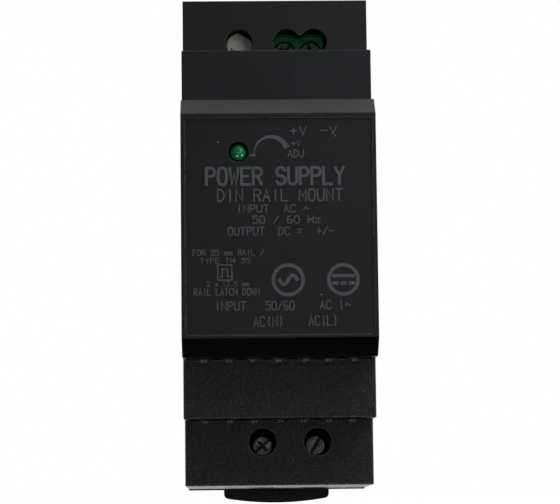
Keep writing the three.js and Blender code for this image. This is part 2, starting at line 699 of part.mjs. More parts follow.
const chokeAt = [CHOKE.x, CHOKE.y, CHOKE.z];
const chokeCore = ringPiece(CHOKE.coreIn, CHOKE.coreOut, CHOKE.coreHalf, 0, 2 * Math.PI);
place(onBoard, "choke_core", chokeCore, LOOK.ferrite, chokeAt);
place(onBoard, "choke_winding_left", chokeWinding(Math.PI), LOOK.copper, chokeAt);
place(onBoard, "choke_winding_right", chokeWinding(0), LOOK.copper, chokeAt);
place(
  onBoard,
  "choke_base",
  cut(
    block([-5.5, 5.5], [-3.7, 3.7], [SEAT_GAP, 3.4]),
    rod("y", CHOKE.coreOut + CHOKE.gap + CHOKE.wire + 0.2, -5, 5, [0, CHOKE.z], 36),
  ),
  LOOK.black,
  [CHOKE.x, CHOKE.y, 0],
);

function bridgeRectifier() {
  const body = slabAlongY(
    polygon([[-7.1, 3], [7.1, 3], [7.1, 13.2], [-5.6, 13.2], [-7.1, 11.7]]),
    1.8,
    3.6,
  );
  const legs = [-5.7, -1.9, 1.9, 5.7].map((x) => block([x - 0.45, x + 0.45], [-0.3, 0.3], [SEAT_GAP, 3.5]));
  return join(body, ...legs);
}
place(onBoard, "bridge_rectifier", bridgeRectifier(), LOOK.black, [6.9, -21.8, 0]);

// An electrolytic can with its rolled neck above the seal.
function canCapacitor(r, height) {
  const neck = r * 0.93;
  return turned([
    [0, SEAT_GAP],
    [r * 0.9, SEAT_GAP],
    [r, 1],
    [r, 2],
    [neck, 2.7],
    [r, 3.4],
    [r, height - 0.5],
    [r - 0.5, height],
    [r * 0.8, height],
    [r * 0.78, height - 0.3],
    [0, height - 0.3],
  ]);
}
place(onBoard, "bulk_capacitor", canCapacitor(7.6, 30), LOOK.sleeve, [-7.2, -7.6, 0]);
place(onBoard, "output_capacitor_left", canCapacitor(4.9, 20), LOOK.sleeve, [-9, 25.4, 0]);
place(onBoard, "output_capacitor_right", canCapacitor(4.9, 20), LOOK.sleeve, [1.3, 27.4, 0]);

// ---- transformer -------------------------------------------------------------------------------------------------

const TRANSFORMER = [4, 11.2, 0];

function transformerCore() {
  const window = (x0, x1) => block([x0, x1], [-4, 4], [5.4, 19.6]);
  return cut(block([-9, 9], [-3, 3], [2.4, 22.6]), window(3, 6.3), window(-6.3, -3));
}

function transformerBobbin() {
  const plate = (z0, z1) => block([-6, 6], [-7.4, 7.4], [z0, z1]);
  const rail = (side) => block([-8, 8], side > 0 ? [3.4, 8.8] : [-8.8, -3.4], [SEAT_GAP, 6.2]);
  return cut(
    join(block([-3.95, 3.95], [-3.95, 3.95], [5.7, 19.3]), plate(5.7, 6.5), plate(18.5, 19.3), rail(-1), rail(1)),
    block([-3.3, 3.3], [-3.3, 3.3], [0, 25]),
    block([6.2, 9], [-7.6, 7.6], [5.2, 7]),
    block([-9, -6.2], [-7.6, 7.6], [5.2, 7]),
  );
}

const transformerWinding = cut(
  slabAlongZ(roundedRectangle([-5.8, 5.8], [-6.9, 6.9], 1.6), 6.8, 18.2),
  block([-4.25, 4.25], [-4.25, 4.25], [0, 30]),
);
place(onBoard, "transformer_core", transformerCore(), LOOK.ferrite, TRANSFORMER);
place(onBoard, "transformer_bobbin", transformerBobbin(), LOOK.black, TRANSFORMER);
place(onBoard, "transformer_winding", transformerWinding, LOOK.tape, TRANSFORMER);

// ---- power devices on their heat sinks ---------------------------------------------------------------------------

const SINK = { inner: 12.5, outer: 13.9, flangeEdge: 8.3, flangeBottom: 22.1, top: 23.4, screwZ: 17, halfWidth: 5.8 };

function powerDevice() {
  const tab = cut(block([10.9, 12.2], [-5, 5], [4, 19.6]), rod("x", 1.85, 10, 13.5, [0, SINK.screwZ], 20));
  const legs = [-2.54, 0, 2.54].map((y) => block([9.1, 9.6], [y - 0.4, y + 0.4], [SEAT_GAP, 4.3]));
  return join(tab, block([7.8, 11], [-5, 5], [4, 13.2]), ...legs);
}

function heatSink() {
  const { inner, outer, flangeEdge, flangeBottom, top, screwZ, halfWidth } = SINK;
  const section = polygon([
    [inner, SEAT_GAP],
    [outer, SEAT_GAP],
    [outer, top],
    [flangeEdge, top],
    [flangeEdge, flangeBottom],
    [inner, flangeBottom],
  ]);
  return cut(slabAlongY(section, halfWidth, 2 * halfWidth), rod("x", 1.5, 11.5, 15, [0, screwZ], 20));
}

function sinkScrew() {
  const slot = [-0.35, 0.35];
  const head = join(
    rod("x", 2.7, 8.6, 10.65, [0, SINK.screwZ], 24),
    rod("x", 1.25, 10.4, 14.2, [0, SINK.screwZ], 16),
  );
  const depth = [8, 9.6];
  return cut(
    head,
    block(depth, slot, [SINK.screwZ - 1.6, SINK.screwZ + 1.6]),
    block(depth, [-1.6, 1.6], [SINK.screwZ - 0.35, SINK.screwZ + 0.35]),
  );
}

for (const [name, y] of [["switch", -9.8], ["diode", 26.5]]) {
  place(onBoard, `power_${name}`, powerDevice(), LOOK.black, [0, y, 0]);
  place(onBoard, `${name}_heat_sink`, heatSink(), LOOK.aluminium, [0, y, 0]);
  place(onBoard, `${name}_sink_screw`, sinkScrew(), LOOK.steel, [0, y, 0]);
}

// ---- small parts -------------------------------------------------------------------------------------------------

place(
  onBoard,
  "output_choke",
  turned([[0, SEAT_GAP], [2.7, SEAT_GAP], [2.7, 1.3], [2.2, 1.6], [2.2, 6.6], [2.7, 6.9], [2.7, 8], [0, 8]], 20),
  LOOK.ferrite,
  [12.5, 39.3, 0],
);
place(onBoard, "y_capacitor", disc("x", 3.7, 3.2), LOOK.blueDisc, [-12.6, 13, 5]);

function optocoupler() {
  const legs = [-1.27, 1.27].flatMap((y) =>
    [-1, 1].map((side) => block(side > 0 ? [3, 3.9] : [-3.9, -3], [y - 0.25, y + 0.25], [SEAT_GAP, 2.1])),
  );
  return join(block([-3.2, 3.2], [-2.3, 2.3], [0.8, 4.2]), ...legs);
}
place(onBoard, "optocoupler", optocoupler(), LOOK.black, [-11, 4, 0]);

export default unit;
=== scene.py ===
"""Looks of the DIN-rail power supply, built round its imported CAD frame. Lengths are in millimetres."""

import itertools
import json
import math
import random

import bmesh
import bpy
from mathutils import Matrix, Vector


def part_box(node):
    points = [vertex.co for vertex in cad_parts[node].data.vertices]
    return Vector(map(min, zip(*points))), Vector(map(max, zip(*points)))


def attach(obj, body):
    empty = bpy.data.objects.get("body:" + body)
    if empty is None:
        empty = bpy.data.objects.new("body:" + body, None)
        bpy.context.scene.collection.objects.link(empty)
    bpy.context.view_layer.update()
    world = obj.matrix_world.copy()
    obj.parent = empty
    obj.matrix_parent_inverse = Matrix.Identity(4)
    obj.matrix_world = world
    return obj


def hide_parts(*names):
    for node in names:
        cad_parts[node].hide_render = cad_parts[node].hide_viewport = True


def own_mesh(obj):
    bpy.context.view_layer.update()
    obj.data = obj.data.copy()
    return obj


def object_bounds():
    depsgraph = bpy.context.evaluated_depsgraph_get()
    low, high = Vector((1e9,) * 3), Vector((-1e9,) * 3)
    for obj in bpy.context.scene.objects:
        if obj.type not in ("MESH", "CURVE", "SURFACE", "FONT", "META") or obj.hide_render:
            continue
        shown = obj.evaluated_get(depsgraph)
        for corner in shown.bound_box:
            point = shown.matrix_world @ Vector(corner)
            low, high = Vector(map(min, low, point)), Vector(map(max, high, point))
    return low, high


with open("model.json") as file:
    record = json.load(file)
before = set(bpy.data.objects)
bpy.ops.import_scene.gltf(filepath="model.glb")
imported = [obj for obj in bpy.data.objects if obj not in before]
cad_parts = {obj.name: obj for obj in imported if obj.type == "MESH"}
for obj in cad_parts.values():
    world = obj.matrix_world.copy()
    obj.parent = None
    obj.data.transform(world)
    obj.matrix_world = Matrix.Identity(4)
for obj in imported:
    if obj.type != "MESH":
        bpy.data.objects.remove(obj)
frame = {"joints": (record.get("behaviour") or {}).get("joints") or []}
cad_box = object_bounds()

MM = 0.001
random.seed(7)

# ---- sizes that repeat the CAD model's driving dimensions ----

WALL = 1.8
NOSE_STEP = 11.0  # from the front of the nose back to the first shoulder
TERMINAL_STEP = 21.3  # and to the shoulder over the terminals
NOSE_HALF = 23.3
NOSE_CHAMFER = (3.15, 3.7)  # height, depth
MID_HALF = 33.95
END_TOP, END_BOTTOM = 45.75, 46.0  # from the centre to each end wall, at the terminal shoulder
ACCESS_R = 2.55
VENT_COUNT, VENT_PITCH, VENT_WIDTH, VENT_MARGIN = 7, 4.55, 3.0, 1.2
POLE_X = {"positive": 2.1, "negative": 7.18, "neutral": -2.98, "line": 7.18}
OUTPUT_POLES, INPUT_POLES = ("positive", "negative"), ("neutral", "line")
SCREW_Z = 38.45
HOLE_TOP_Z, HOLE_BOTTOM_Z = 37.7, -38.0  # the rows of access holes in the two terminal shoulders
HOLE_TOP_X, HOLE_BOTTOM_X = (-6.8, 2.25, 7.33), (-3.05, 7.18)
SLOT_BELOW, SLOT_ABOVE = 1.5, 1.4  # the slot that joins the two output holes
LED_X, LED_Z, LED_HOLE_R = -7.18, 13.2, 1.82
RECESS_HALF, RECESS_BOTTOM, RECESS_TOP, RECESS_DEPTH = 16.75, -19.65, 19.25, 0.3
TRIMMER_R, TRIMMER_FLAT, TRIMMER_TURN = 2.45, 1.95, 30


def span(node):
    """A CAD node's lowest and highest corner in millimetres."""
    low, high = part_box(node)
    return low / MM, high / MM


def middle(node):
    low, high = span(node)
    return (low + high) / 2


shell_low, shell_high = span("front_shell")
HALF_WIDTH = shell_high.x
FRONT = shell_low.y
PARTING = shell_high.y
MID = FRONT + NOSE_STEP
SHOULDER = FRONT + TERMINAL_STEP
INNER = HALF_WIDTH - WALL
LATCH_TRAVEL = next(j for j in frame["joints"] if j["name"] == "latch_slide")["range_m"][1] / MM

# ---- shapes ----


def on_axis(axis, a, b, h):
    """A point from two outline coordinates and a height: outlines are (y, z), (x, z) or (x, y)."""
    return {"x": (h, a, b), "y": (a, h, b), "z": (a, b, h)}[axis]


def close(shape):
    """Faces out everywhere, with doubled points merged."""
    bmesh.ops.remove_doubles(shape, verts=shape.verts, dist=1e-4)
    bmesh.ops.recalc_face_normals(shape, faces=shape.faces)
    return shape


def prism(outline, low, high, axis):
    shape = bmesh.new()
    rings = [[shape.verts.new(on_axis(axis, a, b, h)) for a, b in outline] for h in (low, high)]
    shape.faces.new(rings[0])
    shape.faces.new(rings[1])
    for i in range(len(outline)):
        j = (i + 1) % len(outline)
        shape.faces.new((rings[0][i], rings[0][j], rings[1][j], rings[1][i]))
    return close(shape)


def filleted(corners, steps=5):
    """An outline from (a, b, radius) corners, each rounded by an arc of that radius."""
    points = []
    count = len(corners)
    for i, (a, b, r) in enumerate(corners):
        here = Vector((a, b))
        before = (Vector(corners[i - 1][:2]) - here).normalized()
        after = (Vector(corners[(i + 1) % count][:2]) - here).normalized()
        half = before.angle(after) / 2
        if r <= 0 or half > math.pi / 2 - 0.01:
            points.append((a, b))
            continue
        reach = r / math.tan(half)
        centre = here + (before + after).normalized() * (r / math.sin(half))
        start, end = here + before * reach - centre, here + after * reach - centre
        turn = math.atan2(start.x * end.y - start.y * end.x, start.dot(end))
        base = math.atan2(start.y, start.x)
        for k in range(steps + 1):
            angle = base + turn * k / steps
            points.append((centre.x + r * math.cos(angle), centre.y + r * math.sin(angle)))
    return points


def rectangle(a0, a1, b0, b1, r=0.0, steps=4):
    return filleted([(a0, b0, r), (a1, b0, r), (a1, b1, r), (a0, b1, r)], steps)


def circle(r, at=(0, 0), steps=40):
    turn = 2 * math.pi / steps
    return [(at[0] + r * math.cos(i * turn), at[1] + r * math.sin(i * turn)) for i in range(steps)]


def soften(shape, r, segments=2, angle=40, keep=None):
    """Rounds the edges sharper than angle, or those among them that keep says."""
    limit = math.radians(angle)
    sharp = [e for e in shape.edges if len(e.link_faces) == 2 and e.calc_face_angle(0) > limit]
    if keep:
        sharp = [e for e in sharp if keep(e)]
    bmesh.ops.bevel(
        shape, geom=sharp, offset=r, segments=segments, profile=0.5, affect="EDGES", clamp_overlap=True
    )
    return shape


def square_to(axis):
    """Picks the edges whose ends are level on an axis, 0 for x and 1 for y."""
    return lambda e: abs(e.verts[0].co[axis] - e.verts[1].co[axis]) < 1e-6


def slab(low, high, r=0.0, segments=2):
    """A box between two corners with rounded edges."""
    shape = prism(rectangle(low[0], high[0], low[1], high[1]), low[2], high[2], "z")
    return soften(shape, r, segments) if r else shape


def column(x, z, half_x, half_z, front, back, r=0.0, segments=2):
    """A box centred on (x, z) that reaches from front to back in y."""
    return slab((x - half_x, front, z - half_z), (x + half_x, back, z + half_z), r, segments)


def turned(profile, axis, at=(0, 0), steps=40):
    """A turned solid from (radius, height) points that start and end on the axis, or close on themselves."""
    shape = bmesh.new()
    rings = []
    for r, h in profile:
        if r < 1e-6:
            rings.append([shape.verts.new(on_axis(axis, at[0], at[1], h))])
        else:
            rings.append([shape.verts.new(on_axis(axis, a, b, h)) for a, b in circle(r, at, steps)])
    whole = profile[0][0] > 1e-6
    pairs = list(zip(rings, rings[1:] + rings[:1])) if whole else list(zip(rings, rings[1:]))
    for one, two in pairs:
        for i in range(steps):
            j = (i + 1) % steps
            corners = [one[i % len(one)], one[j % len(one)], two[j % len(two)], two[i % len(two)]]
            corners = [v for k, v in enumerate(corners) if v not in corners[:k]]
            if len(corners) > 2:
                shape.faces.new(corners)
    return close(shape)


def rod(axis, r, low, high, at, steps):
    """A plain cylinder between two places on an axis."""
    return turned([(0, low), (r, low), (r, high), (0, high)], axis, at, steps)


def tube(points, r, sides=10):
    """A round wire through points, with flat ends."""
    shape = bmesh.new()
    count = len(points)
    rings = []
    side = None
    for i, p in enumerate(points):
        ahead = points[i + 1] if i < count - 1 else p
        back = points[i - 1] if i > 0 else p
        along = (Vector(ahead) - Vector(back)).normalized()
        if side is None:
            side = along.orthogonal().normalized()
        side = (side - along * side.dot(along)).normalized()
        other = along.cross(side)
        turn = 2 * math.pi / sides
        ring = [side * math.cos(k * turn) + other * math.sin(k * turn) for k in range(sides)]
        rings.append([shape.verts.new(Vector(p) + way * r) for way in ring])
    for one, two in zip(rings, rings[1:]):
        for k in range(sides):
            m = (k + 1) % sides
            shape.faces.new((one[k], one[m], two[m], two[k]))
    shape.faces.new(rings[0])
    shape.faces.new(rings[-1])
    bmesh.ops.recalc_face_normals(shape, faces=shape.faces)
    return shape


def together(*shapes):
    """Several shapes as one mesh."""
    whole = bmesh.new()
    for shape in shapes:
        part = bpy.data.meshes.new("part")
        shape.to_mesh(part)
        whole.from_mesh(part)
        bpy.data.meshes.remove(part)
        shape.free()
    return whole


def spun(shape, turn, centre):
    """Turns a shape about the y direction through a centre."""
    pivot = Matrix.Translation(Vector(centre))
    spin = pivot @ Matrix.Rotation(turn, 4, "Y") @ pivot.inverted()
    bmesh.ops.transform(shape, matrix=spin, verts=shape.verts)
    return shape


def scratch_object(shape):
    data = bpy.data.meshes.new("scratch")
    shape.to_mesh(data)
    shape.free()
    thing = bpy.data.objects.new("scratch", data)
    bpy.context.scene.collection.objects.link(thing)
    return thing


def combined(base, tools, operation="DIFFERENCE"):
    """base cut by, or joined to, each of the tools."""
    body = scratch_object(base)
    others = [scratch_object(tool) for tool in tools]
    for other in others:
        step = body.modifiers.new("step", "BOOLEAN")
        step.operation, step.solver, step.object = operation, "EXACT", other
    evaluated = body.evaluated_get(bpy.context.evaluated_depsgraph_get())
    result = bmesh.new()
    result.from_mesh(evaluated.to_mesh())
    evaluated.to_mesh_clear()
    for thing in [body, *others]:
        data = thing.data
        bpy.data.objects.remove(thing)
        bpy.data.meshes.remove(data)
    bmesh.ops.remove_doubles(result, verts=result.verts, dist=1e-4)
    return result


def cut(base, *tools):
    return combined(base, tools)


def joined(base, *tools):
    return combined(base, tools, "UNION")


SMOOTH_UNDER = math.radians(32)


def piece(name, shape, look, body="housing", replaces=()):
    """Makes the shape an object of the frame: it rides on body and stands for the CAD nodes it replaces."""
    data = bpy.data.meshes.new(name)
    bmesh.ops.scale(shape, vec=(MM, MM, MM), verts=shape.verts)
    shape.to_mesh(data)
    shape.free()
    data.materials.append(look)
    data.shade_smooth()
    data.set_sharp_from_angle(angle=SMOOTH_UNDER)
    thing = bpy.data.objects.new(name, data)
    bpy.context.scene.collection.objects.link(thing)
    even = thing.modifiers.new("even_normals", "WEIGHTED_NORMAL")
    even.keep_sharp = True
    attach(thing, body)
    if replaces:
        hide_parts(*replaces)
    return thing


# ---- materials ----


class Nodes:
    """Makes and links the nodes of a material or of the world."""

    def __init__(self, tree):
        self.nodes, self.links = tree.nodes, tree.links

    def node(self, kind, inputs, **settings):
        """A new node with these settings and inputs. An input is a value or another node's output."""
        made = self.nodes.new("ShaderNode" + kind)
        for key, value in settings.items():
            setattr(made, key, value)
        for key, value in inputs.items():
            if isinstance(value, bpy.types.NodeSocket):
                self.links.new(value, made.inputs[key])
            else:
                made.inputs[key].default_value = value
        return made

    def math(self, operation, *values):
        return self.node("Math", dict(enumerate(values)), operation=operation).outputs["Value"]

    def product(self, one, two):
        return self.math("MULTIPLY", one, two)

    def spread(self, source, low, high, start=0.3, end=0.7, **settings):
        """Takes start to low and end to high, and holds those beyond them."""
        ends = {"From Min": start, "From Max": end, "To Min": low, "To Max": high}
        return self.node("MapRange", {"Value": source, **ends}, **settings).outputs["Result"]

    def split(self, vector):
        """The X, Y and Z outputs of a vector, by name."""
        return self.node("SeparateXYZ", {"Vector": vector}).outputs


class Look(Nodes):
    """A procedural material: a Principled surface whose colour, roughness and relief come from noise."""

    def __init__(self, name, colour, roughness, metallic=0.0, **inputs):
        self.material = bpy.data.materials.new(name)
        self.material.use_nodes = True
        super().__init__(self.material.node_tree)
        self.surface = self.nodes["Principled BSDF"]
        inputs = {"Base Color": (*colour, 1), "Roughness": roughness, "Metallic": metallic, **inputs}
        for key, value in inputs.items():
            self.surface.inputs[key].default_value = value
        self.place = self.node("TexCoord", {}).outputs["Object"]
        self.relief = None

    def noise(self, grain, detail=3.0, stretch=(1, 1, 1), roughness=0.5):
        """Noise whose features are about grain millimetres across."""
        place = self.node("Mapping", {"Vector": self.place, "Scale": stretch}).outputs["Vector"]
        values = {"Vector": place, "Scale": 1 / (grain * MM), "Detail": detail, "Roughness": roughness}
        return self.node("TexNoise", values).outputs["Fac"]

    def tint(self, source, other, start=0.3, end=0.7):
        """Mixes the colour so far towards another one where source is high."""
        socket = self.surface.inputs["Base Color"]
        so_far = socket.links[0].from_socket if socket.is_linked else tuple(socket.default_value)
        factor = self.spread(source, 0, 1, start, end)
        mix = self.node("Mix", {"Factor": factor, "A": so_far, "B": (*other, 1)}, data_type="RGBA")
        self.links.new(mix.outputs["Result"], socket)

    def gloss(self, source, low, high):
        self.links.new(self.spread(source, low, high), self.surface.inputs["Roughness"])

    def bump(self, source, height):
        """Relief of the given height in millimetres, on top of what is there."""
        so_far = {} if self.relief is None else {"Normal": self.relief}
        values = {"Height": source, "Distance": height * MM, "Strength": 1.0, **so_far}
        self.relief = self.node("Bump", values).outputs["Normal"]
        self.links.new(self.relief, self.surface.inputs["Normal"])

    def along(self, axis, start, end):
        """Rises from 0 at start to 1 at end, two places in millimetres on an axis."""
        return self.spread(self.split(self.place)[axis], 0, 1, start * MM, end * MM)

    def facing_front(self):
        """1 on the faces that look along -Y and 0 on the others."""
        normal = self.node("NewGeometry", {}).outputs["True Normal"]
        return self.spread(self.split(normal)["Y"], 0, 1, -0.5, -0.8)

    def edges(self, reach):
        """1 on the edges of the shape and 0 on its flat faces, over a reach in millimetres."""
        rounded = self.node("Bevel", {"Radius": reach * MM}, samples=6).outputs["Normal"]
        plain_normal = self.node("NewGeometry", {}).outputs["Normal"]
        across = self.node("VectorMath", {0: rounded, 1: plain_normal}, operation="DOT_PRODUCT")
        return self.spread(across.outputs["Value"], 0, 1, 0.995, 0.86)

    def specks(self, spacing, size, share):
        """Sparse dots, in a share of the cells of a scatter with the given spacing in millimetres."""
        cells = self.node("TexVoronoi", {"Vector": self.place, "Scale": 1 / (spacing * MM)})
        dots = self.spread(cells.outputs["Distance"], 0, 1, size / spacing, 0.6 * size / spacing)
        pick = self.node("SeparateColor", {"Color": cells.outputs["Color"]}).outputs["Red"]
        return self.product(dots, self.spread(pick, 0, 1, 1 - share, 1.001 - share))


def scaled(colour, share):
    return tuple(c * share for c in colour)


SHEEN_HEIGHTS = (-20.5, -23.5)  # the heights between which the painted sheen on the lower grain and edges comes in


def spark_eroded(name, colour, roughness, height):
    """Black moulded plastic with the fine grain of a spark-eroded tool."""
    look = Look(name, colour, roughness)
    fine = look.noise(0.22, 4, roughness=0.65)
    coarse = look.noise(0.5, 2)
    cloudy = look.noise(9, 3)
    look.tint(cloudy, scaled(colour, 1.35), 0.35, 0.7)
    look.tint(coarse, scaled(colour, 2.0), 0.5, 0.75)
    look.gloss(coarse, roughness - 0.07, roughness + 0.08)
    look.bump(fine, height)
    look.bump(coarse, height * 0.8)
    return look


def dusty_with_edge_sheen(name, colour, roughness, height):
    """Spark-eroded plastic with a painted highlight along its rounded edges and a few specks of dust."""
    look = spark_eroded(name, colour, roughness, height)
    # The pale rim along the edges is a painted highlight, broken up in patches.
    patches = look.spread(look.noise(0.9, 4, roughness=0.7), 0.3, 1, 0.42, 0.6)
    look.tint(look.product(look.edges(0.2), patches), (0.3, 0.31, 0.325), 0.0, 1.0)
    look.tint(look.specks(2.6, 0.12, 0.18), (0.9, 0.9, 0.92), 0.0, 1.0)
    return look


def make_shell_look():
    """Below the nose the front faces get a painted sheen on their grain, and the edges a brighter painted
    highlight.
    """
    look = dusty_with_edge_sheen("shell_plastic", (0.0135, 0.0155, 0.019), 0.5, 0.016)
    # Painted sheen: the grain of the lower front faces is lightened where the lamps would catch it.
    grain = look.spread(look.noise(0.3, 4, roughness=0.75), 0, 1, 0.52, 0.62)
    lower_front_sheen = look.product(look.along("Z", *SHEEN_HEIGHTS), look.facing_front())
    look.tint(look.product(grain, lower_front_sheen), (0.12, 0.122, 0.13), 0.0, 1.0)
    # Painted highlight: the edges of the lower steps are lightened in patches, as if catching the light.
    patches = look.spread(look.noise(0.5, 4, roughness=0.8), 0.15, 1, 0.45, 0.6)
    lower_edge_sheen = look.product(look.edges(0.5), patches)
    look.tint(look.product(lower_edge_sheen, look.along("Z", *SHEEN_HEIGHTS)), (0.75, 0.76, 0.78), 0.0, 1.0)
    return look.material


def make_base_look():
    return dusty_with_edge_sheen("base_plastic", (0.0145, 0.015, 0.0165), 0.5, 0.012).material


def make_latch_look():
    return dusty_with_edge_sheen("latch_plastic", (0.0075, 0.0075, 0.008), 0.5, 0.006).material


def make_mark_look():
    """Laser-marked plastic: a dull grey with a ragged density."""
    look = Look("laser_mark", (0.26, 0.26, 0.27), 0.75)
    look.tint(look.noise(0.25, 2), (0.13, 0.13, 0.14), 0.4, 0.75)
    look.bump(look.noise(0.12, 2), 0.01)
    return look.material


def make_terminal_look():
    look = Look("terminal_plastic", (0.003, 0.46, 0.12), 0.36)
    look.tint(look.noise(2.5, 2), (0.005, 0.54, 0.16))
    # The light line along the block's edges is a painted highlight.
    look.tint(look.edges(0.26), (0.2, 0.9, 0.5), 0.0, 1.0)
    look.bump(look.noise(0.3, 3), 0.006)
    return look.material


def make_dark_terminal_look():
    look = Look("dark_terminal_plastic", (0.002, 0.0025, 0.0025), 0.6, **{"Specular IOR Level": 0.12})
    look.tint(look.noise(2.0, 2), (0.004, 0.0045, 0.0045))
    look.bump(look.noise(0.3, 3), 0.006)
    return look.material


def steel(name, colour, roughness):
    """Zinc-plated steel with the fine circular and crossing scratches of handling."""
    look = Look(name, colour, roughness, metallic=0.35)
    look.tint(look.noise(0.45, 4, roughness=0.75), scaled(colour, 0.25), 0.42, 0.6)
    # The pale rims are a painted highlight along the edges.
    look.tint(look.edges(0.08), (0.75, 0.77, 0.77), 0.0, 1.0)
    look.gloss(look.noise(0.4, 3), roughness - 0.1, roughness + 0.16)
    look.bump(look.noise(0.3, 3, (1, 1, 0.3)), 0.03)
    look.bump(look.noise(0.3, 2, (0.15, 1, 1)), 0.012)
    return look


def make_steel_look():
    return steel("plated_steel", (0.46, 0.48, 0.48), 0.45).material


def make_screw_look(face):
    """Plated steel with a painted highlight round its edges and painted shade in the slots just behind the
    face of the head.
    """
    look = steel("screw_steel", (0.4, 0.42, 0.42), 0.45)
    # Painted highlight round the edges of the head and its slots.
    look.tint(look.edges(0.16), (0.75, 0.77, 0.77), 0.0, 1.0)
    # Painted shade: the slots darken from just behind the face of the head.
    look.tint(look.along("Y", face + 0.12, face + 0.5), (0.01, 0.011, 0.01), 0.0, 1.0)
    return look.material


def make_tin_look():
    look = Look("tinned_copper", (0.66, 0.64, 0.6), 0.3, metallic=1.0)
    look.gloss(look.noise(0.6, 3), 0.22, 0.45)
    look.bump(look.noise(0.5, 3), 0.006)
    return look.material


def make_spring_look():
    look = Look("spring_wire", (0.5, 0.51, 0.53), 0.26, metallic=1.0)
    look.gloss(look.noise(0.5, 2), 0.2, 0.4)
    look.bump(look.noise(0.15, 2, (1, 1, 0.2)), 0.004)
    return look.material


def make_board_look():
    """Green solder resist, with the weave of the glass cloth just showing and copper tracks under it."""
    look = Look("board_laminate", (0.012, 0.09, 0.035), 0.32)
    place = look.node("Mapping", {"Vector": look.place, "Rotation": (math.pi / 2, 0, 0)}).outputs["Vector"]
    shades = {"Color1": (0, 0, 0, 1), "Color2": (0.35, 0.35, 0.35, 1), "Mortar": (1, 1, 1, 1)}
    layout = {"Vector": place, "Scale": 1 / (7.5 * MM), "Mortar Size": 0.06}
    tracks = look.node("TexBrick", {**layout, **shades}).outputs["Color"]
    look.tint(tracks, (0.03, 0.17, 0.06), 0.0, 1.0)
    look.bump(tracks, 0.03)
    look.bump(look.noise(0.35, 1), 0.004)
    return look.material


def make_lens_look():
    look = Look("led_lens", (0.003, 0.24, 0.06), 0.14, **{"Transmission Weight": 0.3, "Coat Weight": 0.3})
    look.tint(look.noise(0.9, 2), (0.012, 0.4, 0.13), 0.4, 0.75)
    look.bump(look.noise(0.5, 1), 0.006)
    return look.material


def make_nylon_look():
    look = Look("trimmer_nylon", (0.8, 0.8, 0.68), 0.55)
    look.tint(look.noise(0.7, 3), (0.66, 0.66, 0.53), 0.42, 0.65)
    look.bump(look.noise(0.35, 3), 0.012)
    return look.material


def plain(name, colour, roughness, metallic=0.0, grain=0.4, height=0.008, shade=0.7):
    """A moulded, dipped or rolled surface: broad shade, uneven gloss and a fine relief."""
    look = Look(name, colour, roughness, metallic)
    look.tint(look.noise(grain * 6, 2), scaled(colour, shade))
    look.gloss(look.noise(grain * 2, 3), max(0.05, roughness - 0.08), roughness + 0.1)
    look.bump(look.noise(grain, 3), height)
    return look.material


def make_sleeve_look(node, stripe_angle):
    """The shrunk sleeve of an electrolytic can, with the pale stripe that marks its negative side."""
    low, high = span(node)
    centre, r = (low + high) / 2, (high.x - low.x) / 2
    look = Look("sleeve_" + node, (0.012, 0.018, 0.045), 0.3)
    place = look.split(look.place)
    c, s = math.cos(stripe_angle), math.sin(stripe_angle)
    # The distance from the can's axis in the stripe's direction, as a share of the radius.
    reach = look.math("MULTIPLY_ADD", place["X"], c / (r * MM), -(centre.x * c + centre.z * s) / r)
    reach = look.math("MULTIPLY_ADD", place["Z"], s / (r * MM), reach)
    look.tint(reach, (0.3, 0.32, 0.36), 0.93, 0.94)
    look.bump(look.noise(1.2, 2), 0.02)
    return look.material


SHELL, BASE, LATCH = make_shell_look(), make_base_look(), make_latch_look()
MARK, TERMINAL, DARK_TERMINAL = make_mark_look(), make_terminal_look(), make_dark_terminal_look()
STEEL, TIN, SPRING = make_steel_look(), make_tin_look(), make_spring_look()
SCREW_STEEL = make_screw_look(span("line_screw")[0].y)
BOARD, LENS, NYLON = make_board_look(), make_lens_look(), make_nylon_look()
EPOXY = plain("black_epoxy", (0.016, 0.016, 0.018), 0.45)
FERRITE = plain("ferrite", (0.035, 0.035, 0.038), 0.6, grain=0.25, height=0.02)
COPPER = plain("enamelled_copper", (0.55, 0.2, 0.07), 0.28, metallic=1.0)
TAPE = plain("polyester_tape", (0.62, 0.42, 0.06), 0.28)
ALUMINIUM = plain("mill_aluminium", (0.6, 0.61, 0.63), 0.36, metallic=1.0)
FILM_BOX = plain("film_capacitor_box", (0.55, 0.36, 0.05), 0.35)
BLUE_COAT = plain("blue_coating", (0.03, 0.12, 0.4), 0.25, grain=1.0, height=0.04)
GREEN_COAT = plain("green_coating", (0.02, 0.08, 0.05), 0.35, grain=1.0, height=0.05)
BLUE_MOULD = plain("blue_moulding", (0.025, 0.1, 0.34), 0.4)
FUSE_CASE = plain("fuse_case", (0.1, 0.035, 0.02), 0.35)
FIBRE = plain("insulating_fibre", (0.72, 0.7, 0.62), 0.7, grain=0.6, height=0.03)
SOLDER = plain("solder", (0.62, 0.62, 0.62), 0.3, metallic=1.0)
LIGHT_PRINT = plain("light_print", (0.6, 0.6, 0.58), 0.6)

# ---- front shell ----

CORNER = 0.14  # moulded outer corners of the stepped outline
SIDE_ROUND = 0.45
COLLAR_REACH = 42.5  # how far in from the end wall the boss round the wire windows reaches, as a height
MOUTH = 0.09  # chamfer round the mouth of a hole


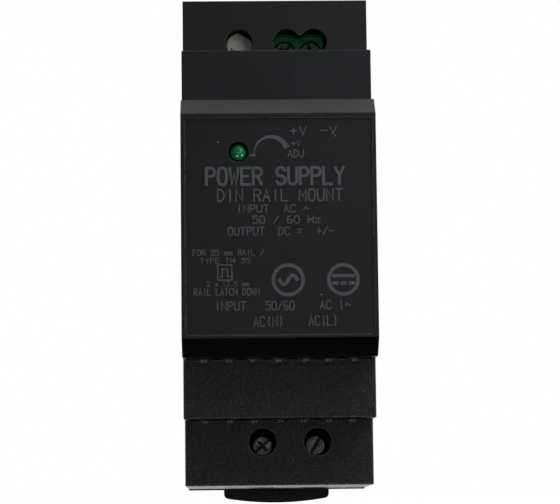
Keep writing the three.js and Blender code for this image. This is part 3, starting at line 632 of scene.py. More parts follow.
def stepped_outline(inset=0.0, corner=CORNER, root=0.12):
    """The side view of the shell in (y, z), from the rear of the top end wall round to the bottom one."""
    mid, nose = MID_HALF - inset, NOSE_HALF - inset
    flat = NOSE_HALF - NOSE_CHAMFER[0] - 0.4 * inset
    slope = NOSE_CHAMFER[1] + 0.4 * inset

    def half(end, drafted):
        return [
            (PARTING + (2 if inset else 0), drafted - inset, 0),
            (SHOULDER + inset, end - inset, corner),
            (SHOULDER + inset, mid, root),
            (MID + inset, mid, corner),
            (MID + inset, nose, root),
            (FRONT + slope, nose, corner),
            (FRONT + inset, flat, corner),
        ]

    lower = [(y, -z, r) for y, z, r in reversed(half(END_BOTTOM, -shell_low.z))]
    return filleted(half(END_TOP, shell_high.z) + lower)


def round_hole(r, x, z, front, back, mouth=MOUTH):
    """A cutter for a round hole through a wall that faces the front, with a chamfered mouth."""
    profile = [(0, front - 1), (r + mouth + 1, front - 1), (r, front + mouth), (r, back + 1), (0, back + 1)]
    return turned(profile, "y", (x, z), 56)


def vent_cutters(half, front, back):
    first = -(VENT_COUNT - 1) / 2 * VENT_PITCH
    cutters = []
    for i in range(VENT_COUNT):
        x = first + i * VENT_PITCH
        outline = rectangle(
            x - VENT_WIDTH / 2, x + VENT_WIDTH / 2, front + VENT_MARGIN, back - VENT_MARGIN, 0.45
        )
        for side in (1, -1):
            low, high = sorted((side * (half - WALL - 0.6), side * (half + 0.6)))
            cutters.append(prism(outline, low, high, "z"))
    return cutters


def wire_windows():
    """The square openings for the wires, each with a funnel at its mouth."""
    half, front, back = 2.25, -13.4, -8.0
    cutters = []
    for names, side, end in ((OUTPUT_POLES, 1, END_TOP), (INPUT_POLES, -1, END_BOTTOM)):
        for name in names:
            x = POLE_X[name]
            z0, z1 = sorted((side * (COLLAR_REACH - 1), side * 48))
            cutters.append(prism(rectangle(x - half, x + half, front, back, 0.4), z0, z1, "z"))
            mouth = prism(rectangle(x - half, x + half, front, back, 0.4), 0, 1, "z")
            for v in mouth.verts:
                grow = 0.35 if v.co.z > 0.5 else 0.0
                v.co.x += math.copysign(grow, v.co.x - x)
                v.co.y += math.copysign(grow, v.co.y - (front + back) / 2)
                v.co.z = side * ((end + 0.32) + (0.6 if v.co.z > 0.5 else -0.35))
            cutters.append(close(mouth))
    return cutters


def wire_collars():
    """The bosses inside the end walls that lead the wires from their windows to the terminals."""
    collars = []
    for names, side, end in ((OUTPUT_POLES, 1, END_TOP), (INPUT_POLES, -1, END_BOTTOM)):
        x0, x1 = POLE_X[names[0]] - 3.45, POLE_X[names[-1]] + 3.45
        z0, z1 = sorted((side * COLLAR_REACH, side * (end - 0.9)))
        collars.append(slab((x0, -14.6, z0), (x1, -6.8, z1)))
    return collars


def snap_windows():
    cutters = []
    for z in (-24, 24):
        outline = rectangle(-9.8, -7.4, z - 2.8, z + 2.8, 0.3)
        for low, high in ((INNER - 1, HALF_WIDTH + 1), (-HALF_WIDTH - 1, 1 - INNER)):
            cutters.append(prism(outline, low, high, "x"))
    return cutters


def build_shell():
    body = prism(stepped_outline(), -HALF_WIDTH, HALF_WIDTH, "x")
    caps = soften(body, SIDE_ROUND, 3, 60, keep=square_to(0))
    hollow = prism(stepped_outline(WALL, 0.0, 0.0), -INNER, INNER, "x")
    panel = rectangle(-RECESS_HALF, RECESS_HALF, RECESS_BOTTOM, RECESS_TOP, 0.7, 6)
    recess = soften(prism(panel, FRONT - 1, FRONT + RECESS_DEPTH, "y"), 0.08, 1, 60)
    slot = rectangle(*HOLE_TOP_X[1:], HOLE_TOP_Z - SLOT_BELOW, HOLE_TOP_Z + SLOT_ABOVE)
    slot = prism(slot, SHOULDER - 1, SHOULDER + WALL + 1, "y")
    centres = [(x, HOLE_TOP_Z) for x in HOLE_TOP_X] + [(x, HOLE_BOTTOM_Z) for x in HOLE_BOTTOM_X]
    holes = [round_hole(ACCESS_R, x, z, SHOULDER, SHOULDER + WALL) for x, z in centres]
    led = round_hole(LED_HOLE_R, LED_X, LED_Z, FRONT + RECESS_DEPTH, FRONT + WALL, 0.12)
    shell = cut(
        joined(cut(caps, hollow), *wire_collars()),
        recess,
        slot,
        *holes,
        led,
        *wire_windows(),
        *snap_windows(),
        *vent_cutters(NOSE_HALF, FRONT + NOSE_CHAMFER[1], MID),
        *vent_cutters(MID_HALF, MID + WALL, SHOULDER),
    )
    vents = [f"{wall}_vent_{end}" for wall in ("nose", "step") for end in ("top", "bottom")]
    piece("shell_moulding", shell, SHELL, replaces=("front_shell", *vents))


def build_vent_root_glints():
    """Painted highlights: a pale pair of nubs at the root of each slot in the two undersides, standing in for
    spots of light there.
    """
    look = plain("painted_root_glints", (0.95, 0.95, 0.96), 0.7, grain=0.15, height=0.02, shade=0.85)
    nubs = []
    for half, root in ((NOSE_HALF, MID), (MID_HALF, SHOULDER)):
        for i in range(VENT_COUNT):
            x = (i - (VENT_COUNT - 1) / 2) * VENT_PITCH + random.uniform(-0.25, 0.25)
            for side in (-1, 1):
                wide, tall = random.uniform(0.2, 0.28), random.uniform(0.35, 0.55)
                centre = x + side * 0.3
                low = (centre - wide, root - 0.5, -half - tall)
                nubs.append(slab(low, (centre + wide, root + 0.1, -half + 0.1), 0.05, 1))
    piece("vent_root_glints", together(*nubs), look)


build_shell()
build_vent_root_glints()

# ---- marks on the label panel ----

# A single-stroke alphabet on a grid 4 wide and 6 high. A stroke is a run of x,y digits, and "~" rounds it.
GLYPHS = {
    "A": ["00 26 40", "12 32"],
    "C": ["~41 30 10 01 05 16 36 45"],
    "D": ["00 06", "~06 26 44 42 20 00"],
    "E": ["40 00 06 46", "03 33"],
    "F": ["00 06 46", "03 33"],
    "I": ["20 26"],
    "L": ["06 00 40"],
    "M": ["00 06 22 46 40"],
    "N": ["00 06 40 46"],
    "O": ["~10 01 05 16 36 45 41 30 10"],
    "P": ["00 06", "~06 36 45 44 33 03"],
    "R": ["00 06", "~06 36 45 44 33 03", "23 40"],
    "S": ["~01 10 30 41 42 33 13 04 05 16 36 45"],
    "T": ["06 46", "20 26"],
    "U": ["~06 01 10 30 41 46"],
    "V": ["06 20 46"],
    "W": ["06 10 24 30 46"],
    "Y": ["06 23 46", "23 20"],
    "J": ["~36 31 20 10 01"],
    "H": ["00 06", "40 46", "03 43"],
    "z": ["04 44 00 40"],
    "m": ["00 04", "~03 14 23 20", "~23 34 43 40"],
    "x": ["00 44", "04 40"],
    "(": ["~36 25 21 30"],
    ")": ["~16 25 21 10"],
    "+": ["23 43", "03 23", "21 25"],
    "-": ["03 43"],
    "/": ["00 46"],
    "~": ["~02 14 24 32 43"],
    "=": ["04 44", "02 12", "22 32"],
    ".": ["20 21"],
    "0": ["~10 01 05 16 36 45 41 30 10"],
    "1": ["15 26 20"],
    "2": ["~05 16 36 45 44 00", "00 40"],
    "3": ["~05 16 36 45 34 13", "~13 34 42 41 30 10 01"],
    "5": ["~01 10 30 41 43 34 04", "04 06 46"],
    "6": ["~36 16 04 01 10 30 41 42 33 13 02"],
    "7": ["06 46 10"],
}
MARK_RISE = 0.02
CUTTING_ROUNDS = 2
rises = itertools.cycle(MARK_RISE + 0.0015 * k for k in range(11))  # crossing strokes never share a face


def rounded_run(points):
    """Corner cutting, which keeps the ends of an open run."""
    closed = (points[0] - points[-1]).length < 1e-6
    for _ in range(CUTTING_ROUNDS):
        cutting = [] if closed else [points[0]]
        for p, q in zip(points, points[1:]):
            cutting += [p.lerp(q, 0.25), p.lerp(q, 0.75)]
        points = [*cutting, cutting[0] if closed else points[-1]]
    return points


def ribbon(points, width, y, widths=None):
    """A thin solid ribbon through (x, z) points, proud of the panel at depth y."""
    shape = bmesh.new()
    rise = next(rises)
    closed = (points[0] - points[-1]).length < 1e-6
    if closed:
        points = points[:-1]
    last = len(points) - 1
    rows = []
    for i, p in enumerate(points):
        back = (p - points[i - 1]).normalized() if i or closed else None
        ahead = (points[(i + 1) % len(points)] - p).normalized() if i < last or closed else None
        along = ((back or ahead) + (ahead or back)).normalized()
        across = Vector((-along.y, along.x))
        mitre = max(0.6, across.dot(Vector((-(ahead or back).y, (ahead or back).x))))
        half = (widths[i] if widths else width) / 2 / mitre
        if not back:
            p = p - along * width * 0.35
        if not ahead:
            p = p + along * width * 0.35
        edges = (p + across * half, p - across * half)
        rows.append([shape.verts.new((q.x, depth, q.y)) for depth in (y - rise, y + rise) for q in edges])
    for one, two in zip(rows, rows[1:] + (rows[:1] if closed else [])):
        for a, b in ((0, 1), (1, 3), (3, 2), (2, 0)):
            shape.faces.new((one[a], one[b], two[b], two[a]))
    if not closed:
        for end in (rows[0], rows[-1]):
            shape.faces.new([end[k] for k in (0, 1, 3, 2)])
    bmesh.ops.recalc_face_normals(shape, faces=shape.faces)
    return shape


PANEL = FRONT + 0.3  # the floor of the label recess


def lettering(text, left, right, bottom, top, stroke):
    """Ribbons for a line of text stretched over a box of the panel, in (x, z)."""
    cell = (right - left) / (len(text) * 5.6 - 1.6)
    unit = (top - bottom) / 6
    shapes = []
    for i, letter in enumerate(text):
        for run in GLYPHS.get(letter, []):
            smooth = run[0] == "~"
            grid = [Vector((int(p[0]), int(p[1]))) for p in run.lstrip("~").split()]
            points = [Vector((left + (i * 5.6 + g.x) * cell, bottom + g.y * unit)) for g in grid]
            shapes.append(ribbon(rounded_run(points) if smooth else points, stroke, PANEL))
    return shapes


def arc_run(centre, r, start, end, steps=28):
    angles = [math.radians(start + (end - start) * k / steps) for k in range(steps + 1)]
    return [Vector((centre[0] + r * math.cos(a), centre[1] + r * math.sin(a))) for a in angles]


def adjust_symbol():
    """The arc that widens towards higher voltage, with its short ticks."""
    arc = arc_run((-1.35, 12.9), 3.0, 185, 20)
    widths = [0.18 + 0.85 * (i / (len(arc) - 1)) ** 1.4 for i in range(len(arc))]
    return [
        ribbon(arc, 0.2, PANEL, widths),
        ribbon([Vector((-5.0, 12.55)), Vector((-4.1, 12.55))], 0.3, PANEL),
    ]


def ring_symbol(x, z, r, strokes):
    """A bold ring round a current symbol."""
    ring = arc_run((x, z), r, 0, 360, 48)
    return [ribbon(ring, 0.62, PANEL), *[ribbon(run, 0.62, PANEL) for run in strokes]]


def current_symbols():
    """A wave for alternating current and a bar over dashes for direct current."""
    phases = [k / 12 - 1 for k in range(25)]
    wave = [Vector((1.5 + 1.6 * t, -9.85 + 0.85 * math.sin(math.pi * t))) for t in phases]
    bars = [
        [Vector((9.5, -9.2)), Vector((13.1, -9.2))],
        *[[Vector((x, -10.5)), Vector((x + 0.7, -10.5))] for x in (9.5, 10.95, 12.4)],
    ]
    return [*ring_symbol(1.5, -9.85, 2.65, [wave]), *ring_symbol(11.3, -9.85, 2.6, bars)]


def rail_symbol():
    """A small square round the outline of a top-hat rail."""
    corners = [(-11.0, -9.8), (-8.5, -9.8), (-8.5, -7.1), (-11.0, -7.1), (-11.0, -9.8)]
    hat = [(-10.6, -9.2), (-10.2, -9.2), (-10.2, -7.8), (-9.3, -7.8), (-9.3, -9.2), (-8.9, -9.2)]
    return [ribbon([Vector(p) for p in run], 0.22, PANEL) for run in (corners, hat)]


TEXT = (
    # words, left, right, bottom, top, stroke
    ("+V", 2.2, 5.0, 16.2, 17.7, 0.2),
    ("-V", 7.6, 10.4, 16.3, 17.7, 0.2),
    ("+V", 2.4, 3.9, 14.2, 15.1, 0.16),
    ("ADJ", 1.7, 4.7, 12.2, 13.5, 0.2),
    ("POWER SUPPLY", -12.9, 11.6, 7.3, 10.3, 0.5),
    ("DIN RAIL MOUNT", -10.9, 11.3, 4.3, 6.4, 0.26),
    ("INPUT  AC ~", -7.5, 5.3, 2.3, 3.6, 0.2),
    ("50 / 60 Hz", -4.7, 7.3, 0.3, 1.6, 0.2),
    ("OUTPUT  DC =  +/-", -9.1, 9.7, -1.8, -0.4, 0.2),
    ("FOR 35 mm RAIL /", -15.4, -2.8, -5.4, -4.4, 0.15),
    ("TYPE TH 35", -14.1, -5.3, -6.8, -5.9, 0.14),
    ("2 x 17.5 mm", -12.9, -5.5, -10.9, -10.1, 0.14),
    ("RAIL LATCH DOWN", -15.2, -3.7, -12.5, -11.3, 0.18),
    ("INPUT", -11.5, -6.1, -15.2, -13.7, 0.22),
    ("50/60", -2.5, 2.5, -15.2, -13.7, 0.22),
    ("AC 1~", 7.1, 12.4, -15.1, -13.6, 0.22),
    ("AC(N)", -4.7, 0.6, -18.1, -16.4, 0.22),
    ("AC(L)", 5.1, 10.2, -18.0, -16.3, 0.22),
)


def build_marks():
    words = [shape for line in TEXT for shape in lettering(*line)]
    piece("panel_lettering", together(*words), MARK)
    symbols = [*adjust_symbol(), *current_symbols(), *rail_symbol()]
    piece("panel_symbols", together(*symbols), MARK)


build_marks()

# ---- rear base ----

base_low, base_high = span("rear_base")
CHANNEL_HALF = 17.75
LIP_GAP = 1.35
HOOK_EDGE = 15.2
GUIDE_HALF = 10.7


def base_outline():
    top, bottom, back, front = base_high.z, base_low.z, base_high.y, PARTING + 0.15
    return filleted(
        [
            (front, top, 0.25),
            (front, bottom, 0.25),
            (back, bottom, 0.3),
            (back, -CHANNEL_HALF, 0.4),
            (0, -CHANNEL_HALF, 0.2),
            (0, CHANNEL_HALF, 0.2),
            (LIP_GAP, CHANNEL_HALF, 0.15),
            (LIP_GAP, HOOK_EDGE, 0.3),
            (LIP_GAP + 1.6, HOOK_EDGE, 0.4),
            (back, HOOK_EDGE + 1.8, 0.5),
            (back, top, 0.3),
        ]
    )


def snap_arm(side, z, root):
    arm = slab((14.3, -10.5, z - 2.5), (15.4, root, z + 2.5), 0.15)
    barb = [(15.2, -9.5, 0.0), (16.2, -9.5, 0.1), (16.9, -8.8, 0.1), (16.9, -7.7, 0.1), (15.2, -7.7, 0.0)]
    whole = joined(arm, prism(filleted(barb, 2), z - 2.5, z + 2.5, "z"))
    if side < 0:
        bmesh.ops.scale(whole, vec=(-1, 1, 1), verts=whole.verts)
        bmesh.ops.reverse_faces(whole, faces=whole.faces)
    return whole


def rib_pockets():
    """Shallow coring on the back of the feet, which leaves stiffening ribs between the pockets."""
    pockets = []
    deep = base_high.y - 0.9
    for x0, x1 in ((-15.4, -5.6), (-4.6, 4.6), (5.6, 15.4)):
        for z0, z1 in ((20.2, 31.2), (32.2, 43.8)):
            outline = rectangle(x0, x1, z0, z1, 0.6)
            pockets.append(prism(outline, deep, base_high.y + 1, "y"))
    for side in (-1, 1):
        x0, x1 = sorted((side * 12.1, side * 15.6))
        for z0, z1 in ((-31.4, -20.2), (-43.8, -32.6)):
            pockets.append(prism(rectangle(x0, x1, z0, z1, 0.5), deep, base_high.y + 1, "y"))
    return pockets


def build_base():
    body = prism(base_outline(), -HALF_WIDTH, HALF_WIDTH, "x")
    body = soften(body, SIDE_ROUND, 3, 60, keep=square_to(0))
    open_half = GUIDE_HALF - 1.45
    tray = cut(
        body,
        slab((-INNER, PARTING - 2, -44.2), (INNER, -2, 44.2)),
        slab((-INNER, -3, CHANNEL_HALF + 2), (INNER, base_high.y - 2, 44.2)),
        slab((-GUIDE_HALF, 0.6, -48), (GUIDE_HALF, 3.65, 1 - CHANNEL_HALF)),
        slab((-open_half, 0.5, -48), (open_half, 7, 1 - CHANNEL_HALF)),
        slab((-2.2, -0.85, -39.6), (2.2, 1, -26.4)),
        *rib_pockets(),
    )
    posts = []
    for sx in (-1, 1):
        for sz in (-1, 1):
            root = base_high.y - 1.7 if sz > 0 else -1.6
            low = (sx * 14.1 - 1, -4.9, sz * 40.4 - 1)
            high = (sx * 14.1 + 1, root, sz * 40.4 + 1)
            posts.append(slab(low, high, 0.15))
    arms = [
        snap_arm(side, z, base_high.y - 1.7 if z > 0 else -1.6) for side in (-1, 1) for z in (-24, 24)
    ]
    peg = slab((-1.8, -0.6, -41.9), (1.8, 3.2, -39.6), 0.25)
    whole = joined(tray, *posts, *arms, peg)
    piece("base_moulding", whole, BASE, replaces=("rear_base",))


build_base()

# ---- rail latch and spring ----


def latch_outline():
    """In (x, z): straight sides and a bottom edge that bows down between rounded corners."""
    low, high = span("rail_latch")
    w, bottom = high.x + 0.1, low.z + 0.02
    corner = 1.0
    sag = 0.95  # how far the middle of the bottom edge hangs below its ends
    edge = []
    steps = 24
    for k in range(steps + 1):
        x = w * (1 - 2 * k / steps)
        edge.append((x, bottom + sag * (x / w) ** 2, corner if k in (0, steps) else 0))
    return filleted([(-w, high.z, 0.3), (w, high.z, 0.3), *edge], 6)


def build_latch():
    low, high = span("rail_latch")
    plate = prism(latch_outline(), low.y, high.y, "y")
    plate = soften(plate, 0.3, 2, 60, keep=square_to(1))
    window = prism(rectangle(-2.1, 2.1, -42.2, -26.8, 0.3), low.y - 1, high.y + 1, "y")
    lip_room = slab((-12, low.y - 1, -CHANNEL_HALF), (12, LIP_GAP, high.z + 1))
    slope = prism([(1.95, -15.1), (3.9, -17.3), (3.9, -15.1)], -12, 12, "x")
    driver = prism(rectangle(-2.6, 2.6, -45.4, -44.0, 0.3), high.y - 1.2, high.y + 1, "y")
    grooves = [
        prism(rectangle(-7.5, 7.5, z - 0.3, z + 0.3, 0.25), high.y - 0.35, high.y + 1, "y")
        for z in (-20.2, -21.6, -23.0)
    ]
    moulding = cut(plate, window, lip_room, slope, driver, *grooves)
    piece("latch_moulding", moulding, LATCH, "latch", ("rail_latch",))


def build_spring():
    """A compression spring with its end turns closed and ground, free to squash against the peg."""
    low, high = span("latch_spring")
    wire = 0.28
    r = (high.x - low.x) / 2 - wire
    centre_y = (low.y + high.y) / 2
    bottom, top = low.z + wire, high.z - wire
    turns, steps = 9, 28
    points = []
    for i in range(turns * steps + 1):
        t = i / (turns * steps)
        eased = t + 0.055 * math.sin(2 * math.pi * t) * -1
        angle = 2 * math.pi * turns * t
        points.append((r * math.cos(angle), centre_y + r * math.sin(angle), bottom + (top - bottom) * eased))
    coil = piece("spring_coil", tube(points, wire), SPRING, "housing", ("latch_spring",))
    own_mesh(coil)


build_latch()
build_spring()

# ---- terminals ----


def build_terminal_block(node, name, poles, side, look):
    """side is 1 where the wires enter from above and -1 where they enter from below."""
    low, high = span(node)
    top = low.y
    body = slab(low, high, 0.3, 2)
    wire_z = high.z if side > 0 else low.z
    step_z = wire_z - side * 1.2
    z0, z1 = sorted((step_z, wire_z + side))
    tools = [slab((low.x - 1, top - 1, z0), (high.x + 1, top + 2, z1))]
    for pole in poles:
        x, z = POLE_X[pole], side * SCREW_Z
        z_of = lambda out: z + side * out
        bore = [(0, top - 1), (2.9, top - 1), (2.0, top + 0.15), (2.0, top + 2.7), (0, top + 2.7)]
        tools.append(turned(bore, "y", (x, z), 48))
        tools.append(rod("y", 1.4, top + 2.5, top + 3.6, (x, z), 32))
        tools.append(column(x, z, 2.15, 2.15, top + 3.2, top + 12.8))
        z0, z1 = sorted((z_of(0), z_of(4)))
        tools.append(slab((x - 1.75, top + 8.2, z0), (x + 1.75, top + 12, z1)))
        z0, z1 = sorted((z_of(0), z_of(-3.5)))
        tools.append(slab((x - 1.5, top + 7.5, z0), (x + 1.5, top + 14.5, z1)))
        # A shallow bevelled frame round the wire entry.
        z0, z1 = sorted((wire_z + side * 1, wire_z - side * 0.35))
        tools.append(slab((x - 2.05, top + 7.9, z0), (x + 2.05, top + 12.3, z1)))
    # Grooves between poles on the front, as the mould leaves them.
    for left, right in zip(poles, poles[1:]):
        x = (POLE_X[left] + POLE_X[right]) / 2
        tools.append(slab((x - 0.2, top - 1, low.z - 1), (x + 0.2, top + 0.45, high.z + 1)))
    piece(name, cut(body, *tools), look, replaces=(node,))


def build_screw(pole, side, turn, cross):
    """A cheese-head screw with a slot, crossed by a shorter one on the combination heads."""
    low, high = span(f"{pole}_screw")
    x, z = POLE_X[pole], side * SCREW_Z
    r = 1.8
    shank = high.y
    head = low.y + 1.6
    profile = [
        (0, low.y),
        (r - 0.12, low.y),
        (r, low.y + 0.14),
        (r, head - 0.15),
        (r - 0.15, head),
        (1.25, head),
    ]
    pitch, h = 0.5, head
    while h + pitch < shank - 0.3:
        profile += [(1.25, h + 0.1), (1.02, h + pitch / 2), (1.25, h + pitch - 0.1)]
        h += pitch
    profile += [(1.0, shank - 0.1), (0, shank)]
    body = turned(profile, "y", (x, z), 56)
    tools = [column(x, z, 0.34, 3, low.y - 1, low.y + 1.2)]
    if cross:
        tools.append(column(x, z, 1.2, 0.34, low.y - 1, low.y + 1.2))
    tools = [spun(t, turn, (x, 0, z)) for t in tools]
    shape = soften(cut(body, *tools), 0.05, 1, 55)
    piece(f"{pole}_screw_turned", shape, SCREW_STEEL, f"{pole}_screw", (f"{pole}_screw",))


def build_cage(pole, side):
    low, high = span(f"{pole}_cage")
    x, z = POLE_X[pole], side * SCREW_Z
    body = slab(low, high, 0.35, 3)
    wall = 0.6
    tools = [
        slab((low.x + wall, low.y + 1.2, low.z - 1), (high.x - wall, high.y - 0.8, high.z + 1), 0.2),
        rod("y", 1.45, low.y - 1, low.y + 1.4, (x, z), 36),
    ]
    tools += [
        slab((low.x - 1, high.y - 2.6 - k * 0.8, z - 1.2), (low.x + 0.12, high.y - 2.3 - k * 0.8, z + 1.2))
        for k in range(3)
    ]
    piece(f"{pole}_cage_folded", cut(body, *tools), TIN, f"{pole}_cage", (f"{pole}_cage",))


def build_contact(pole, side):
    low, high = span(f"{pole}_contact")
    x, z = POLE_X[pole], side * SCREW_Z
    inner = z - side * 2.5
    outer = z - side * 3.2
    z0, z1 = sorted((z + side * 1.8, outer))
    bar = slab((x - 1.2, low.y, z0), (x + 1.2, low.y + 0.8, z1), 0.12)
    z0, z1 = sorted((inner, outer))
    leg = slab((x - 1.2, low.y, z0), (x + 1.2, high.y - 4.1, z1), 0.12)
    pin = slab((x - 0.5, high.y - 4.7, z0), (x + 0.5, high.y, z1), 0.12)
    outline = rectangle(x - 1.1, x + 1.1, low.y + 0.78, low.y + 0.95)
    ridges = [prism(outline, start, start + 0.18, "z") for start in (z - 0.9, z - 0.2, z + 0.5)]
    bar = together(bar, leg, pin, *ridges)
    piece(f"{pole}_contact_bar", bar, TIN, replaces=(f"{pole}_contact",))


build_terminal_block("output_terminal_body", "output_block", OUTPUT_POLES, 1, TERMINAL)
build_terminal_block("input_terminal_body", "input_block", INPUT_POLES, -1, DARK_TERMINAL)
for pole, side, turn, cross in (
    ("positive", 1, 0.7, True),
    ("negative", 1, -0.3, True),
    ("neutral", -1, 0.85, True),
    ("line", -1, 0.47, False),
):
    build_screw(pole, side, turn, cross)
    build_cage(pole, side)
    build_contact(pole, side)

# ---- trimmer and light ----


def build_trimmer():
    low, high = span("trimmer_body")
    x, _, z = middle("trimmer_body")
    top = low.y
    well = [(0, top - 1), (2.5, top - 1), (2.1, top + 0.3), (2.1, top + 3), (0, top + 3)]
    foot_gap = slab((low.x - 1, high.y - 0.5, low.z + 1.2), (high.x + 1, high.y + 1, high.z - 1.2))
    body = cut(slab(low, high, 0.35, 2), turned(well, "y", (x, z), 40), foot_gap)
    piece("trimmer_case", body, BLUE_MOULD, replaces=("trimmer_body",))

    low, high = span("trimmer_knob")
    r, flat = TRIMMER_R, TRIMMER_FLAT
    face = low.y
    profile = [(0, face), (r - 0.25, face), (r, face + 0.25), (r, face + 5), (0, face + 5)]
    head = turned(profile, "y", (x, z), 64)
    shaft = rod("y", 1.7, face + 4.5, high.y, (x, z), 32)
    tools = [
        slab((x - 5, face - 1, z + flat), (x + 5, face + 2.5, z + 5)),
        slab((x - 1.2, face - 1, z - 1.7), (x + 1.2, face + 0.8, z - 1.2)),
    ]
    turn = math.radians(TRIMMER_TURN)
    tools = [spun(t, turn, (x, 0, z)) for t in tools]
    knob = soften(cut(joined(head, shaft), *tools), 0.08, 2, 50)
    piece("trimmer_knob_moulded", knob, NYLON, "trimmer", ("trimmer_knob",))


def build_led():
    low, high = span("status_led")
    x, _, z = middle("status_led")
    r, flange = 1.62, (high.x - low.x) / 2
    tip, back = low.y, high.y
    dome = [(r * math.sin(k * math.pi / 20), tip + r - r * math.cos(k * math.pi / 20)) for k in range(11)]
    profile = [*dome, (r, back - 1.1), (flange - 0.1, back - 1.0), (flange, back - 0.9), (flange, back - 0.1)]
    profile += [(flange - 0.1, back), (0, back)]
    piece("led_lens_dome", turned(profile, "y", (x, z), 48), LENS, replaces=("status_led",))
    for end in ("anode", "cathode"):
        low, high = span(f"led_lead_{end}")
        zc = (low.z + high.z) / 2
        lead_x, foot_x = middle("status_led").x, low.x + 0.22
        half = 0.22
        foot = column(foot_x, zc, half, half, high.y - 3.4, high.y, 0.08)
        step = slab((foot_x - half, high.y - 3.45, zc - half), (lead_x + half, high.y - 3.0, zc + half), 0.08)
        stem = column(lead_x, zc, half, half, low.y, high.y - 3.0, 0.08)
        leg = together(foot, step, stem)
        piece(f"led_leg_{end}", leg, TIN, replaces=(f"led_lead_{end}",))


build_trimmer()
build_led()

# ---- boards and what stands on them ----


def solder_joint(x, z, y):
    return turned([(0, y + 0.75), (0.35, y + 0.6), (0.5, y + 0.3), (0.95, y), (0, y)], "y", (x, z), 14)


def build_boards():
    low, high = span("main_board")
    leg = SCREW_Z - 2.85
    holes = [(POLE_X[p], leg) for p in OUTPUT_POLES] + [(POLE_X[p], -leg) for p in INPUT_POLES]
    notches = [
        column(side * 14.65, z, 0.75, 3, low.y - 1, high.y + 1)
        for side in (-1, 1)
        for z in (-24, 24)
    ]
    board = cut(
        prism(rectangle(low.x, high.x, low.z, high.z, 0.8), low.y, high.y, "y"),
        *[rod("y", 0.9, low.y - 1, high.y + 1, at, 20) for at in holes],
        *notches,
    )
    piece("main_board_laminate", soften(board, 0.08, 1, 60), BOARD, replaces=("main_board",))
    rows = [(x, z) for z in range(-30, 34, 6) for x in (-11, -4, 3, 9)]
    joints = [solder_joint(x + random.uniform(-1, 1), z + random.uniform(-1.5, 1.5), high.y) for x, z in rows]
    piece("main_board_joints", together(*joints), SOLDER)

    low, high = span("control_board")
    card = prism(rectangle(low.y, high.y, low.z, high.z, 0.5), low.x, high.x, "x")
    piece("control_board_laminate", soften(card, 0.08, 1, 60), BOARD, replaces=("control_board",))
    chips, ends = [], []
    for y in range(int(low.y) + 3, int(high.y) - 6, 3):
        for z in (low.z + 2.2, low.z + 8.8):
            chips.append(slab((high.x, y, z - 0.45), (high.x + 0.45, y + 1.0, z + 0.45), 0.08, 1))
            for e in (y - 0.3, y + 0.9):
                ends.append(slab((high.x, e, z - 0.5), (high.x + 0.5, e + 0.4, z + 0.5), 0.08, 1))
    piece("control_board_resistors", together(*chips), EPOXY)
    piece("control_board_terminations", together(*ends), SOLDER)


def build_chip():
    low, high = span("controller_chip")
    body = slab((low.x, low.y + 1.0, low.z), (high.x, high.y - 1.0, high.z), 0.15, 2)
    legs = []
    for z in (low.z + 0.6, low.z + 1.87, low.z + 3.13, low.z + 4.4):
        for y0, y1 in ((low.y, low.y + 1.1), (high.y - 1.1, high.y)):
            legs.append(slab((low.x + 1.0, y0, z - 0.2), (low.x + 1.4, y1, z + 0.2), 0.06, 1))
    piece("controller_chip_body", body, EPOXY, replaces=("controller_chip",))
    piece("controller_chip_legs", together(*legs), TIN)


def can(node, name, stripe):
    """An aluminium electrolytic capacitor: a sleeve rolled in at the neck, and a vented aluminium top."""
    low, high = span(node)
    x, _, z = middle(node)
    r = (high.x - low.x) / 2
    foot, tip = high.y, low.y
    sleeve = [
        (0, foot),
        (0.9 * r, foot),
        (r, foot - 0.7),
        (r, foot - 1.8),
        (0.93 * r, foot - 2.4),
        (r, foot - 3.1),
        (r, tip + 0.6),
        (r - 0.15, tip + 0.25),
        (r - 0.5, tip + 0.1),
        (0.8 * r, tip),
        (0.78 * r, tip + 0.25),
        (0, tip + 0.25),
    ]
    look = make_sleeve_look(node, stripe)
    piece(name, turned(sleeve, "y", (x, z), 56), look, replaces=(node,))
    lid = [(0, tip + 0.12), (0.76 * r, tip + 0.12), (0.77 * r, tip + 0.3), (0, tip + 0.3)]
    lid = turned(lid, "y", (x, z), 56)
    scores = [slab((x - 0.12, tip - 1, z), (x + 0.12, tip + 0.2, z + 0.6 * r)) for _ in range(3)]
    scores = [spun(score, k * 2 * math.pi / 3, (x, 0, z)) for k, score in enumerate(scores)]
    piece(name + "_top", cut(lid, *scores), ALUMINIUM)


def dipped_disc(node, name, look, axis):
    """A ceramic disc in a thick dipped coating, on two wires."""
    low, high = span(node)
    centre = middle(node)
    size = high - low
    if axis == "x":
        r, half, at, mid = size.z / 2, size.x / 2, (centre.y, centre.z), centre.x
    else:
        r, half, at, mid = size.x / 2, size.z / 2, (centre.x, centre.y), centre.z
    bulge = [(share * r, mid - half * h) for share, h in ((0, 1), (0.55, 0.97), (0.85, 0.8), (0.97, 0.4))]
    bulge += [(r, mid), *[(q, 2 * mid - h) for q, h in reversed(bulge[1:])], (0, mid + half)]
    disc = turned(bulge, axis, at, 48)
    board_face = span("main_board")[0].y
    wires = []
    for offset in (-2.5, 2.5):
        x, z = (centre.x, centre.z + offset) if axis == "x" else (centre.x + offset, centre.z)
        wires.append(rod("y", 0.3, centre.y, board_face + 0.05, (x, z), 12))
    piece(name, disc, look, replaces=(node,))
    piece(name + "_wires", together(*wires), TIN)


